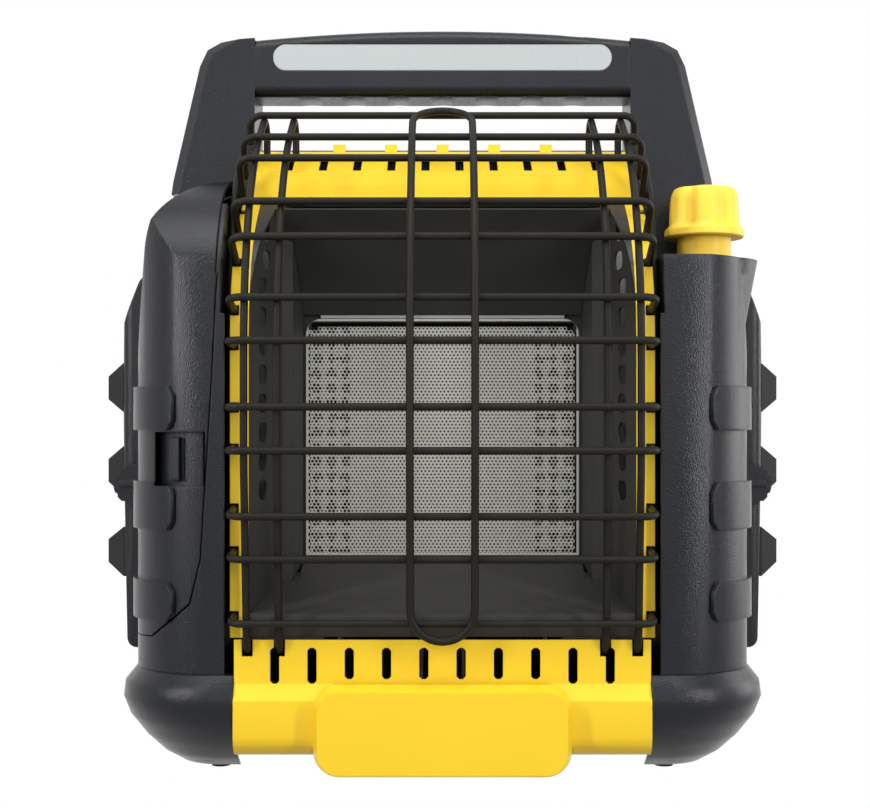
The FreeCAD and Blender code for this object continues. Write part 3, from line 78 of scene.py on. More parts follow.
scene = bpy.context.scene
lens = bpy.data.cameras.new("photo_camera")
camera = bpy.data.objects.new("photo_camera", lens)
scene.collection.objects.link(camera)
camera.location = CAMERA_PLACE
camera.rotation_euler = (math.radians(90), 0, 0)
lens.sensor_width = SENSOR
lens.lens = FOCAL_PIXELS * SENSOR / PHOTO_WIDTH
lens.shift_x = (PHOTO_WIDTH / 2 - VANISHING_X) / PHOTO_WIDTH
lens.shift_y = (VANISHING_Y - PHOTO_HEIGHT / 2) / PHOTO_WIDTH
scene.camera = camera
scene.render.resolution_x = PHOTO_WIDTH
scene.render.resolution_y = PHOTO_HEIGHT
print("lens:", round(lens.lens, 2), "mm, shifts:", round(lens.shift_x, 4), round(lens.shift_y, 4))

# %% [markdown]
# ## Surfaces
# Two small node groups carry the effects that many surfaces share. `moulded_grain` is the fine
# sparkle of textured plastic with softened edges, and `handled_tone` varies a colour and its
# roughness slowly over a piece, so that no surface looks computed.

# %% Shared shader groups
EDGE_SOFTNESS = 0.0009
EDGE_SAMPLES = 4
BUMP_HEIGHT = 0.0004
CLOUDS_PER_METRE = 24.0


def group_input(group, name, kind, value):
    """Adds one named input with its usual value to a node group."""
    socket = group.interface.new_socket(name, in_out="INPUT", socket_type=kind)
    socket.default_value = value
    return socket


def object_coordinates(group, scale):
    """Object coordinates through a mapping node."""
    place = group.nodes.new("ShaderNodeTexCoord")
    mapping = group.nodes.new("ShaderNodeMapping")
    mapping.inputs["Scale"].default_value = (scale, scale, scale)
    group.links.new(place.outputs["Object"], mapping.inputs["Vector"])
    return mapping.outputs["Vector"]


def make_grain_group():
    """Fine bumps over softened edges."""
    group = bpy.data.node_groups.new("moulded_grain", "ShaderNodeTree")
    group_input(group, "Grain per metre", "NodeSocketFloat", 900.0)
    group_input(group, "Depth", "NodeSocketFloat", 0.2)
    group_input(group, "Edge radius", "NodeSocketFloat", EDGE_SOFTNESS)
    group.interface.new_socket("Normal", in_out="OUTPUT", socket_type="NodeSocketVector")
    entry = group.nodes.new("NodeGroupInput")
    leave = group.nodes.new("NodeGroupOutput")
    noise = group.nodes.new("ShaderNodeTexNoise")
    noise.inputs["Detail"].default_value = 2.0
    group.links.new(object_coordinates(group, 1.0), noise.inputs["Vector"])
    group.links.new(entry.outputs["Grain per metre"], noise.inputs["Scale"])
    edge = group.nodes.new("ShaderNodeBevel")
    edge.samples = EDGE_SAMPLES
    group.links.new(entry.outputs["Edge radius"], edge.inputs["Radius"])
    bump = group.nodes.new("ShaderNodeBump")
    bump.inputs["Distance"].default_value = BUMP_HEIGHT
    group.links.new(noise.outputs["Fac"], bump.inputs["Height"])
    group.links.new(entry.outputs["Depth"], bump.inputs["Strength"])
    group.links.new(edge.outputs["Normal"], bump.inputs["Normal"])
    group.links.new(bump.outputs["Normal"], leave.inputs["Normal"])
    return group


def make_tone_group():
    """Slow changes of colour and roughness."""
    group = bpy.data.node_groups.new("handled_tone", "ShaderNodeTree")
    group_input(group, "Colour", "NodeSocketColor", (0.5, 0.5, 0.5, 1.0))
    group_input(group, "Colour change", "NodeSocketFloat", 0.08)
    group_input(group, "Roughness", "NodeSocketFloat", 0.5)
    group_input(group, "Roughness change", "NodeSocketFloat", 0.08)
    group.interface.new_socket("Colour", in_out="OUTPUT", socket_type="NodeSocketColor")
    group.interface.new_socket("Roughness", in_out="OUTPUT", socket_type="NodeSocketFloat")
    entry = group.nodes.new("NodeGroupInput")
    leave = group.nodes.new("NodeGroupOutput")
    cloud = group.nodes.new("ShaderNodeTexNoise")
    cloud.inputs["Scale"].default_value = CLOUDS_PER_METRE
    cloud.inputs["Detail"].default_value = 4.0
    group.links.new(object_coordinates(group, 1.0), cloud.inputs["Vector"])
    centred = group.nodes.new("ShaderNodeMath")
    centred.operation = "SUBTRACT"
    centred.inputs[1].default_value = 0.5
    group.links.new(cloud.outputs["Fac"], centred.inputs[0])
    tone = group.nodes.new("ShaderNodeMath")
    tone.operation = "MULTIPLY_ADD"
    tone.inputs[2].default_value = 1.0
    group.links.new(centred.outputs[0], tone.inputs[0])
    group.links.new(entry.outputs["Colour change"], tone.inputs[1])
    shade = group.nodes.new("ShaderNodeVectorMath")
    shade.operation = "SCALE"
    group.links.new(entry.outputs["Colour"], shade.inputs[0])
    group.links.new(tone.outputs[0], shade.inputs["Scale"])
    group.links.new(shade.outputs[0], leave.inputs["Colour"])
    gloss = group.nodes.new("ShaderNodeMath")
    gloss.operation = "MULTIPLY_ADD"
    group.links.new(centred.outputs[0], gloss.inputs[0])
    group.links.new(entry.outputs["Roughness change"], gloss.inputs[1])
    group.links.new(entry.outputs["Roughness"], gloss.inputs[2])
    group.links.new(gloss.outputs[0], leave.inputs["Roughness"])
    return group


grain_group = make_grain_group()
tone_group = make_tone_group()
print("shader groups:", grain_group.name, tone_group.name)

# %% [markdown]
# ## Materials
# Each surface has its own small function. The plastics are dark with a satin sheen, the sheet
# metal is painted, and the wire guard wears a dull heat-proof coat. One shared function sets up
# what they have in common, so a surface can be changed in one line. The backdrop is white in
# reflections too, so dark surfaces get less shine than usual, or they would turn grey.

# %% Material functions
MASK_HALF_WIDTH = 0.1003
MASK_COLOUR = (0.030, 0.029, 0.027, 1.0)


def surface(name, colour, roughness, grain, depth, metallic=0.0, change=0.08, edge=EDGE_SOFTNESS,
            shine=0.25):
    """A material with the two shared groups and its own Principled node."""
    material = bpy.data.materials.new(name)
    material.use_nodes = True
    nodes = material.node_tree.nodes
    links = material.node_tree.links
    shader = nodes["Principled BSDF"]
    tone = nodes.new("ShaderNodeGroup")
    tone.node_tree = tone_group
    tone.inputs["Colour"].default_value = (*colour, 1.0)
    tone.inputs["Colour change"].default_value = change
    tone.inputs["Roughness"].default_value = roughness
    bumps = nodes.new("ShaderNodeGroup")
    bumps.node_tree = grain_group
    bumps.inputs["Grain per metre"].default_value = grain
    bumps.inputs["Depth"].default_value = depth
    bumps.inputs["Edge radius"].default_value = edge
    shader.inputs["Metallic"].default_value = metallic
    shader.inputs["Specular IOR Level"].default_value = shine
    links.new(tone.outputs["Colour"], shader.inputs["Base Color"])
    links.new(tone.outputs["Roughness"], shader.inputs["Roughness"])
    links.new(bumps.outputs["Normal"], shader.inputs["Normal"])
    return material


def casing_plastic():
    """Charcoal moulded plastic with a fine sparkle."""
    return surface("casing_plastic", (0.006, 0.007, 0.010), 0.22, 1300.0, 0.60, edge=0.0016,
                   shine=0.27)


def dark_plastic():
    """Plain black plastic."""
    return surface("dark_plastic", (0.010, 0.010, 0.011), 0.5, 1200.0, 0.1, shine=0.15)


def yellow_paint():
    """Yellow paint on steel sheet."""
    material = surface("yellow_paint", (0.90, 0.60, 0.022), 0.38, 500.0, 0.03, change=0.05)
    material.node_tree.nodes["Principled BSDF"].inputs["Coat Weight"].default_value = 0.10
    return material


def masked_yellow():
    """Yellow paint outside, dark where the sheet turns into the recess, within MASK_HALF_WIDTH of
    the middle.
    """
    material = yellow_paint()
    material.name = "masked_yellow"
    nodes = material.node_tree.nodes
    links = material.node_tree.links
    place = nodes.new("ShaderNodeTexCoord")
    parts = nodes.new("ShaderNodeSeparateXYZ")
    links.new(place.outputs["Object"], parts.inputs[0])
    across = nodes.new("ShaderNodeMath")
    across.operation = "ABSOLUTE"
    links.new(parts.outputs["X"], across.inputs[0])
    inside = nodes.new("ShaderNodeMath")
    inside.operation = "LESS_THAN"
    inside.inputs[1].default_value = MASK_HALF_WIDTH
    links.new(across.outputs[0], inside.inputs[0])
    blend = nodes.new("ShaderNodeMix")
    blend.data_type = "RGBA"
    shader = nodes["Principled BSDF"]
    painted = shader.inputs["Base Color"].links[0].from_socket
    links.new(inside.outputs[0], blend.inputs["Factor"])
    links.new(painted, blend.inputs["A"])
    blend.inputs["B"].default_value = MASK_COLOUR
    links.new(blend.outputs["Result"], shader.inputs["Base Color"])
    return material


def yellow_plastic():
    """Yellow moulded plastic of the knob."""
    return surface("yellow_plastic", (0.90, 0.60, 0.060), 0.42, 900.0, 0.08, change=0.05)


def dark_paint():
    """Dull dark grey heat-proof paint."""
    return surface("dark_paint", (0.034, 0.033, 0.029), 0.55, 1300.0, 0.12, change=0.15, shine=0.15)


def guard_coat():
    """Warm dark grey coat on the guard wire."""
    return surface("guard_coat", (0.012, 0.011, 0.008), 0.44, 1800.0, 0.10, change=0.12, shine=0.12)


def screen_steel():
    """Dull bare steel of the perforated burner screen."""
    return surface("screen_steel", (0.50, 0.49, 0.44), 0.5, 700.0, 0.04, metallic=0.25)


def plain_steel():
    """Zinc-plated steel of hidden parts."""
    return surface("plain_steel", (0.42, 0.42, 0.42), 0.4, 500.0, 0.05, metallic=0.9)


def stained_steel():
    """Steel of the burner box, darkened by heat."""
    return surface("stained_steel", (0.030, 0.029, 0.027), 0.6, 700.0, 0.08, metallic=0.3)


def ceramic_tile():
    """Unglazed burner tile; its dark colour is painted shade behind its screen."""
    return surface("ceramic_tile", (0.035, 0.034, 0.030), 0.8, 1500.0, 0.15, change=0.2)


def brass():
    """Machined brass."""
    return surface("brass", (0.70, 0.52, 0.22), 0.32, 500.0, 0.04, metallic=1.0)


def cast_alloy():
    """Cast zinc alloy."""
    return surface("cast_alloy", (0.50, 0.50, 0.51), 0.45, 900.0, 0.12, metallic=0.9)


def lamp_lens():
    """Milky lamp cover, unlit."""
    material = surface("lamp_lens", (0.36, 0.39, 0.39), 0.28, 300.0, 0.02, change=0.06)
    shader = material.node_tree.nodes["Principled BSDF"]
    shader.inputs["Coat Weight"].default_value = 0.4
    return material


def circuit_board():
    """White lamp board."""
    return surface("circuit_board", (0.70, 0.74, 0.70), 0.5, 400.0, 0.03)


def rubber():
    """Matt black rubber."""
    return surface("rubber", (0.014, 0.014, 0.014), 0.7, 1300.0, 0.25)


MATERIALS = {
    "casing_plastic": casing_plastic(),
    "dark_plastic": dark_plastic(),
    "yellow_sheet": yellow_paint(),
    "masked_yellow": masked_yellow(),
    "yellow_plastic": yellow_plastic(),
    "dark_sheet": dark_paint(),
    "guard": guard_coat(),
    "screen_steel": screen_steel(),
    "plain_steel": plain_steel(),
    "stained_steel": stained_steel(),
    "ceramic_tile": ceramic_tile(),
    "brass": brass(),
    "cast_alloy": cast_alloy(),
    "lens": lamp_lens(),
    "circuit": circuit_board(),
    "rubber": rubber(),
}
print("materials:", ", ".join(sorted(MATERIALS)))

# %% [markdown]
# ## Finished copies of the solids
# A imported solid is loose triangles. Each one gets a copy whose doubles are merged and whose
# curves are shaded smoothly, while real edges stay sharp. The copy stands for its node. Two
# copies get another surface than their slot's: the front frame is dark where it turns into the
# recess, and the burner box is stained by heat.

# %% Copy and smooth the nodes
SMOOTH_BELOW = math.radians(32)
DOUBLES_WITHIN = 0.000002
record = frame["record"]
slot_of = {part["node"]: part["material_slot"] for part in record["subparts"]}
body_of = {}
for body, members in record["behaviour"]["bodies"].items():
    for member in members:
        body_of[member] = body

REMADE = ("guard_cross_wires", "guard_uprights", "guard_loop", "guard_side_rails",
          "burner_screen", "control_knob")


def adopt(thing, node, slot_name=None, material=None):
    """Puts a finished piece on its body, in its slot, in place of its node."""
    slot_name = slot_name or slot_of[node]
    thing.data.materials.clear()
    thing.data.materials.append(material or MATERIALS[slot_name])
    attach(thing, body_of[node])
    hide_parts(node)
    return thing


def smooth_mesh(mesh):
    """Merges doubles, then marks only real edges as sharp."""
    shape = bmesh.new()
    shape.from_mesh(mesh)
    bmesh.ops.remove_doubles(shape, verts=shape.verts, dist=DOUBLES_WITHIN)
    for face in shape.faces:
        face.smooth = True
    for edge in shape.edges:
        faces = edge.link_faces
        edge.smooth = len(faces) == 2 and edge.calc_face_angle(0.0) < SMOOTH_BELOW
    shape.to_mesh(mesh)
    shape.free()


def finished_copy(node):
    """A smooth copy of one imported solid."""
    source = frame["nodes"][node]
    mesh = source.data.copy()
    mesh.name = node + "_finished"
    mesh.transform(source.matrix_world)
    smooth_mesh(mesh)
    thing = bpy.data.objects.new(node + "_finished", mesh)
    scene.collection.objects.link(thing)
    return adopt(thing, node)


copies = {node: finished_copy(node) for node in sorted(slot_of) if node not in REMADE}
copies["front_frame"].data.materials[0] = MATERIALS["masked_yellow"]
copies["burner_plenum"].data.materials[0] = MATERIALS["stained_steel"]
print("finished copies:", len(copies))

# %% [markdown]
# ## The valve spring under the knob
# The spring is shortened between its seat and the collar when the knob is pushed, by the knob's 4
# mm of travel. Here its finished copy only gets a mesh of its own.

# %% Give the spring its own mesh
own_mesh(copies["valve_spring"])

# %% [markdown]
# ## Slots of the recess
# The slots in the recess's side walls are cut again in the finished copy, with round ends and a
# little longer than the plain ones, as the photograph shows them.

# %% Round the slots
LINER_SLOT_PITCH = 0.0154
LINER_SLOTS = 10
LINER_SLOT_TOP_Z = 0.291
SLOT_REACH = (-0.0960, -0.0830)
SLOT_BEND = 0.0040
SLOT_BELOW = 0.0096
SLOT_ABOVE = 0.0006
SLOT_SHIFT = 0.006
SHIFT_ABOVE_Z = 0.270
CUT_FROM_X = 0.086
CUT_TO_X = 0.1035


def slot_cutter(side, y_low, y_high, z_low, z_high):
    """A rounded bar through one side wall."""
    shape = bmesh.new()
    ring = []
    for centre_y, centre_z, start in ((y_high - SLOT_BEND, z_high - SLOT_BEND, 0),
                                      (y_low + SLOT_BEND, z_high - SLOT_BEND, 1),
                                      (y_low + SLOT_BEND, z_low + SLOT_BEND, 2),
                                      (y_high - SLOT_BEND, z_low + SLOT_BEND, 3)):
        for step in range(6):
            angle = math.pi / 2 * (start + step / 5)
            ring.append((centre_y + SLOT_BEND * math.cos(angle),
                         centre_z + SLOT_BEND * math.sin(angle)))
    near = [shape.verts.new((side * CUT_FROM_X, y, z)) for y, z in ring]
    far = [shape.verts.new((side * CUT_TO_X, y, z)) for y, z in ring]
    shape.faces.new(near)
    shape.faces.new(far[::-1])
    for index in range(len(ring)):
        after = (index + 1) % len(ring)
        shape.faces.new((near[after], near[index], far[index], far[after]))
    bmesh.ops.recalc_face_normals(shape, faces=shape.faces)
    mesh = bpy.data.meshes.new("slot_cutter")
    shape.to_mesh(mesh)
    shape.free()
    return mesh


def round_slots(thing):
    """Cuts the rounded slots through the finished liner."""
    together = bmesh.new()
    for index in range(LINER_SLOTS):
        high = LINER_SLOT_TOP_Z - LINER_SLOT_PITCH * index
        shift = SLOT_SHIFT if high > SHIFT_ABOVE_Z else 0.0
        for side in (-1, 1):
            together.from_mesh(slot_cutter(side, SLOT_REACH[0] + shift, SLOT_REACH[1] + shift,
                                           high - SLOT_BELOW, high + SLOT_ABOVE))
    mesh = bpy.data.meshes.new("slot_cutters")
    together.to_mesh(mesh)
    together.free()
    cutter = bpy.data.objects.new("slot_cutters", mesh)
    scene.collection.objects.link(cutter)
    modifier = thing.modifiers.new("slots", "BOOLEAN")
    modifier.object = cutter
    modifier.operation = "DIFFERENCE"
    modifier.solver = "EXACT"
    depsgraph = bpy.context.evaluated_depsgraph_get()
    cut = bpy.data.meshes.new_from_object(thing.evaluated_get(depsgraph))
    thing.modifiers.remove(modifier)
    bpy.data.objects.remove(cutter)
    thing.data = cut
    smooth_mesh(cut)


round_slots(copies["recess_liner"])
print("liner faces:", len(copies["recess_liner"].data.polygons))

# %% [markdown]
# ## The control knob
# The grip has six soft lobes over a round skirt, a neck that goes down into the well and a blind
# bore for the stem. It is one turned profile whose radius dips six times on the way round.

# %% Lobed knob
MM = 0.001
KNOB_CENTRE = (142.0, -74.0)
KNOB_LOBES = 6
LOBE_DEPTH = 3.4
KNOB_PROFILE = ((304.0, 0.0004, 0.0), (304.0, 3.6, 0.0), (229.0, 3.6, 0.0), (229.0, 7.0, 0.0),
                (262.0, 7.0, 0.0), (262.0, 13.8, 0.0), (262.6, 14.5, 0.0), (283.9, 14.5, 0.0),
                (284.0, 20.8, 0.0), (284.7, 21.5, 0.0), (288.0, 21.5, 0.1), (289.0, 21.0, 0.4),
                (290.2, 20.2, 0.9), (292.0, 19.7, 1.0), (303.5, 19.3, 1.0), (307.5, 18.7, 0.95),
                (309.8, 17.3, 0.8), (310.8, 15.4, 0.5), (311.0, 13.6, 0.2), (310.4, 12.2, 0.0),
                (310.2, 3.0, 0.0), (310.2, 0.0004, 0.0))
KNOB_STEPS = 96
LOBE_TURN = 0.6
LOBE_SHARPNESS = 2.2


def lobed_knob():
    """The knob as one closed turned surface."""
    shape = bmesh.new()
    rings = []
    for z, radius, share in KNOB_PROFILE:
        ring = []
        for step in range(KNOB_STEPS):
            angle = 2 * math.pi * step / KNOB_STEPS
            wave = 0.5 + 0.5 * math.cos(KNOB_LOBES * angle + LOBE_TURN)
            reach = radius - LOBE_DEPTH * share * wave ** LOBE_SHARPNESS
            ring.append(shape.verts.new(((KNOB_CENTRE[0] + reach * math.cos(angle)) * MM,
                                         (KNOB_CENTRE[1] + reach * math.sin(angle)) * MM,
                                         z * MM)))
        rings.append(ring)
    for low, high in zip(rings, rings[1:]):
        for step in range(KNOB_STEPS):
            after = (step + 1) % KNOB_STEPS
            shape.faces.new((low[step], low[after], high[after], high[step]))
    mesh = bpy.data.meshes.new("lobed_knob")
    shape.to_mesh(mesh)
    shape.free()
    smooth_mesh(mesh)
    thing = bpy.data.objects.new("lobed_knob", mesh)
    scene.collection.objects.link(thing)
    return thing


knob = adopt(lobed_knob(), "control_knob")
print("knob faces:", len(knob.data.polygons))

# %% [markdown]
# ## The wire guard
# The guard is one surface that leans back, stands upright and then curves over the burner. A
# place on it is found by walking up its profile, and every wire is laid on that walk: twelve
# cross wires with legs, four uprights hooked at both ends, and the loop in front.

# %% Guard profile
WIRE_RADIUS = 2.0
WIRE = 2 * WIRE_RADIUS
GUARD_FRONT_Y = -139.0
GUARD_FOOT_Z = 81.6
GUARD_LEAN = math.radians(7.0)
GUARD_RUN = ((76.7, 0.0), (14.66, math.radians(7.0)), (47.0, 0.0), (154.9, math.radians(60.0)),
             (26.0, 0.0))
PAIR_PITCH = 33.3
PAIR_GAP = 22.0
CROSS_COUNT = 12
GUARD_HALF_WIDTH = 108.0
CROSS_BEND = 7.0
RAIL_X = 112.0
RAIL_POINTS = ((-97.0, 78.0), (-97.0, 258.0), (-81.0, 305.0), (-44.0, 343.0))
RAIL_BEND = 40.0
UPRIGHT_X = (83.5, 100.0)
UPRIGHT_TOP = 310.0
UPRIGHT_TAIL = 7.4
UPRIGHT_DROP_Z = 324.0
HOOK_BEND = 10.0
LOOP_HALF_WIDTH = 16.25
LOOP_START = 8.0
LOOP_END = 288.0
HOOK_REACH = 14.0
LEG_OVERLAP = 2.5
LEG_WITHOUT_RAIL = 22.0
LOOP_ARC_STEPS = 16
WALK_STEP = 6.0


def guard_place(s):
    """Y, Z and lean-back angle at a distance up the guard's profile."""
    y = GUARD_FRONT_Y + (GUARD_RUN[0][0] * math.sin(GUARD_LEAN)
                         + GUARD_RUN[1][0] * math.sin(GUARD_LEAN / 2))
    z = GUARD_FOOT_Z
    heading = -GUARD_LEAN
    for length, turn in GUARD_RUN:
        step = min(s, length)
        if turn:
            radius = length / turn
            swung = step / radius
            y += radius * (math.cos(heading) - math.cos(heading + swung))
            z += radius * (math.sin(heading + swung) - math.sin(heading))
            heading += swung
        else:
            y += step * math.sin(heading)
            z += step * math.cos(heading)
        s -= step
        if s <= 0:
            break
    return y, z, heading


def guard_point(x, s, inward):
    """A point on the guard, moved towards the burner."""
    y, z, heading = guard_place(s)
    return Vector((x, y + inward * math.cos(heading), z - inward * math.sin(heading)))


def rounded_route(points, radii, steps=8):
    """Points through a bent line, with an arc at each inner corner."""
    route = [points[0]]
    for index in range(1, len(points) - 1):
        corner = points[index]
        radius = radii[index]
        before = (points[index - 1] - corner).normalized()
        after = (points[index + 1] - corner).normalized()
        half = before.angle(after) / 2
        reach = radius / math.tan(half)
        centre = corner + (before + after).normalized() * (radius / math.sin(half))
        start = corner + before * reach - centre
        end = corner + after * reach - centre
        turn = start.angle(end)
        for step in range(steps + 1):
            share = step / steps
            mix = (start * math.sin((1 - share) * turn) + end * math.sin(share * turn))
            route.append(centre + mix / math.sin(turn))
    route.append(points[-1])
    return route


print("guard top:", [round(value, 1) for value in guard_place(1000.0)[:2]])

# %% [markdown]
# Each wire is a route of points, drawn as a round tube and made into one mesh for its node. The
# cross wires reach back to the side rails, the uprights hook into the panel and the hood, and the
# loop is closed. Round tubes replace the eight-sided wires of the solids.

# %% Guard wires


def crossing_places():
    """Places of the cross wires, in close pairs."""
    places = []
    s = 0.0
    for index in range(CROSS_COUNT):
        places.append(guard_place(s))
        s += PAIR_GAP if index % 2 else PAIR_PITCH
    return places


def leg_length(y, z, heading):
    """How far a leg runs back to the side rail."""
    best = 0.0
    aim = (math.cos(heading), -math.sin(heading))
    for (y1, z1), (y2, z2) in zip(RAIL_POINTS, RAIL_POINTS[1:]):
        run = (y2 - y1, z2 - z1)
        scale = aim[0] * run[1] - aim[1] * run[0]
        reach = ((y1 - y) * run[1] - (z1 - z) * run[0]) / scale
        along = ((y1 - y) * aim[1] - (z1 - z) * aim[0]) / scale
        if -0.05 <= along <= 1.05 and reach > best:
            best = reach
    return best if best else LEG_WITHOUT_RAIL


def cross_routes():
    """Routes of the twelve cross wires with their legs."""
    routes = []
    for y, z, heading in crossing_places():
        leg = leg_length(y, z, heading) + LEG_OVERLAP
        half = GUARD_HALF_WIDTH
        flat = [Vector((-half, leg, 0)), Vector((-half, 0, 0)), Vector((half, 0, 0)),
                Vector((half, leg, 0))]
        turn = Matrix.Rotation(-heading, 4, "X")
        placed = Matrix.Translation((0, y, z)) @ turn
        route = rounded_route(flat, [0, CROSS_BEND, CROSS_BEND, 0])
        routes.append([placed @ point for point in route])
    return routes


def walk(x, start, end, inward):
    """Points up the guard between two distances."""
    count = max(2, int((end - start) / WALK_STEP))
    return [guard_point(x, start + (end - start) * step / count, inward)
            for step in range(count + 1)]


def arc_points(centre, first, last, steps=10):
    """Points of an arc between two directions from a centre."""
    turn = first.angle(last)
    points = []
    for step in range(1, steps + 1):
        share = step / steps
        mix = first * math.sin((1 - share) * turn) + last * math.sin(share * turn)
        points.append(centre + mix / math.sin(turn))
    return points


def upright_route(x):
    """Route of one upright, from its hook in the panel to its end in the hood."""
    lean = GUARD_LEAN
    start = guard_point(x, 0.0, WIRE)
    first = start + Vector((0, math.sin(lean), -math.cos(lean))) * UPRIGHT_TAIL
    centre = first + Vector((0, math.cos(lean), math.sin(lean))) * HOOK_BEND
    low = centre + Vector((0, 0, -HOOK_BEND))
    route = [low + Vector((0, HOOK_REACH, 0)), low]
    route += arc_points(centre, low - centre, first - centre)
    route += walk(x, 0.0, UPRIGHT_TOP, WIRE)
    heading = guard_place(UPRIGHT_TOP)[2]
    last = route[-1]
    turn = Vector((0, math.cos(heading), -math.sin(heading)))
    top_centre = last + turn * HOOK_BEND
    peak = (-turn + Vector((0, 1, 0))).normalized() * HOOK_BEND
    end = Vector((0, HOOK_BEND, 0))
    route += arc_points(top_centre, -turn * HOOK_BEND, peak)
    route += arc_points(top_centre, peak, end)
    route.append(Vector((x, (top_centre + end).y, UPRIGHT_DROP_Z)))
    return route


def loop_end(s, way):
    """Half circle that closes the loop at one end, upwards or downwards."""
    heading = guard_place(s)[2]
    middle = guard_point(0, s, -WIRE)
    tangent = Vector((0, math.sin(heading), math.cos(heading)))
    side = Vector((1, 0, 0))
    points = []
    for step in range(1, LOOP_ARC_STEPS):
        angle = math.pi * step / LOOP_ARC_STEPS
        swing = (side * math.cos(angle) + tangent * math.sin(angle)) * LOOP_HALF_WIDTH
        points.append(middle + swing * way)
    return points


def loop_route():
    """Closed route of the loop in front of the guard."""
    up = walk(LOOP_HALF_WIDTH, LOOP_START, LOOP_END, -WIRE)
    down = walk(-LOOP_HALF_WIDTH, LOOP_START, LOOP_END, -WIRE)[::-1]
    return up + loop_end(LOOP_END, 1) + down + loop_end(LOOP_START, -1)


def wire_piece(name, routes, closed=False):
    """Round wire along the routes, as one mesh."""
    curve = bpy.data.curves.new(name, "CURVE")
    curve.dimensions = "3D"
    curve.bevel_depth = WIRE_RADIUS * MM
    curve.bevel_resolution = 4
    curve.use_fill_caps = True
    for route in routes:
        spline = curve.splines.new("POLY")
        spline.points.add(len(route) - 1)
        spline.use_cyclic_u = closed
        for point, place in zip(spline.points, route):
            point.co = (place.x * MM, place.y * MM, place.z * MM, 1.0)
    drawn = bpy.data.objects.new(name + "_curve", curve)
    scene.collection.objects.link(drawn)
    depsgraph = bpy.context.evaluated_depsgraph_get()
    mesh = bpy.data.meshes.new_from_object(drawn.evaluated_get(depsgraph))
    bpy.data.objects.remove(drawn)
    for face in mesh.polygons:
        face.use_smooth = True
    thing = bpy.data.objects.new(name, mesh)
    scene.collection.objects.link(thing)
    return thing


def rail_routes():
    """Routes of the two side rails."""
    routes = []
    for x in (-RAIL_X, RAIL_X):
        points = [Vector((x, y, z)) for y, z in RAIL_POINTS]
        routes.append(rounded_route(points, [0, RAIL_BEND, RAIL_BEND, 0]))
    return routes


upright_routes = [upright_route(side * x) for x in UPRIGHT_X for side in (-1, 1)]
guard_routes = (
    ("cross_wires", "guard_cross_wires", cross_routes(), False),
    ("uprights", "guard_uprights", upright_routes, False),
    ("front_loop", "guard_loop", [loop_route()], True),
    ("side_rails", "guard_side_rails", rail_routes(), False),
)
guard_pieces = [adopt(wire_piece(name, routes, closed), node, material=MATERIALS["guard"])
                for name, node, routes, closed in guard_routes]
print("guard pieces:", [piece.name for piece in guard_pieces])

# %% [markdown]
# ## The burner screen
# The screen is thin steel with small staggered holes. Geometry Nodes set out one six-sided cell
# with a hole in it on a staggered grid, make the copies real and give them their metal. Toward
# both sides, cells with a wider hole stand in diamonds, as in the photograph, and a plain border
# with a rounded rim frames the sheet.

# %% Perforated screen
HOLE_PITCH = 0.0022
HOLE_RADIUS = 0.00056
WIDE_HOLE_RADIUS = 0.00086
SCREEN_MARGIN = 0.0026
BAND_START = 0.053
DIAMOND = 0.0085
DIAMOND_EDGE = 0.12
HOLE_DEPTH = 0.0006
RIM_DEPTH = 0.0008
RIM_BEND = 0.009
RIM_STEPS = 6
CORNER_X = 0.0715
CORNER_DROP = 0.0075


def hole_cell(name, hole_radius):
    """One six-sided cell of sheet round a hole, with the hole's wall."""
    mesh = bpy.data.meshes.new(name)
    outer_radius = HOLE_PITCH / math.sqrt(3)
    points = []
    for radius, depth in ((outer_radius, 0.0), (hole_radius, 0.0), (hole_radius, HOLE_DEPTH)):
        for index in range(6):
            angle = math.pi * (index + 0.5) / 3
            points.append((radius * math.cos(angle), depth, radius * math.sin(angle)))
    faces = []
    for index in range(6):
        after = (index + 1) % 6
        faces.append((index, after, after + 6, index + 6))
        faces.append((index + 6, after + 6, after + 12, index + 12))
    mesh.from_pydata(points, [], faces)
    thing = bpy.data.objects.new(name, mesh)
    scene.collection.objects.link(thing)
    return thing


def make_screen_nodes(material):
    """Geometry nodes that tile the cell over the screen."""
    group = bpy.data.node_groups.new("staggered_holes", "GeometryNodeTree")
    group.interface.new_socket("Geometry", in_out="INPUT", socket_type="NodeSocketGeometry")
    cell = group.interface.new_socket("Cell", in_out="INPUT", socket_type="NodeSocketObject")
    group.interface.new_socket("Geometry", in_out="OUTPUT", socket_type="NodeSocketGeometry")
    entry = group.nodes.new("NodeGroupInput")
    leave = group.nodes.new("NodeGroupOutput")
    info = group.nodes.new("GeometryNodeObjectInfo")
    place = group.nodes.new("GeometryNodeInstanceOnPoints")
    real = group.nodes.new("GeometryNodeRealizeInstances")
    metal = group.nodes.new("GeometryNodeSetMaterial")
    metal.inputs["Material"].default_value = material
    group.links.new(entry.outputs["Cell"], info.inputs["Object"])
    group.links.new(entry.outputs["Geometry"], place.inputs["Points"])
    group.links.new(info.outputs["Geometry"], place.inputs["Instance"])
    group.links.new(place.outputs["Instances"], real.inputs["Geometry"])
    group.links.new(real.outputs["Geometry"], metal.inputs["Geometry"])
    group.links.new(metal.outputs["Geometry"], leave.inputs["Geometry"])
    return group, cell.identifier


def in_band(x, z):
    """Whether a hole belongs to the darker diamonds near the screen's left and right edges."""
    if abs(x) < BAND_START:
        return False
    turn = 2 * math.pi / DIAMOND
    return math.sin(turn * (x + z) / 2) * math.sin(turn * (x - z) / 2) > DIAMOND_EDGE


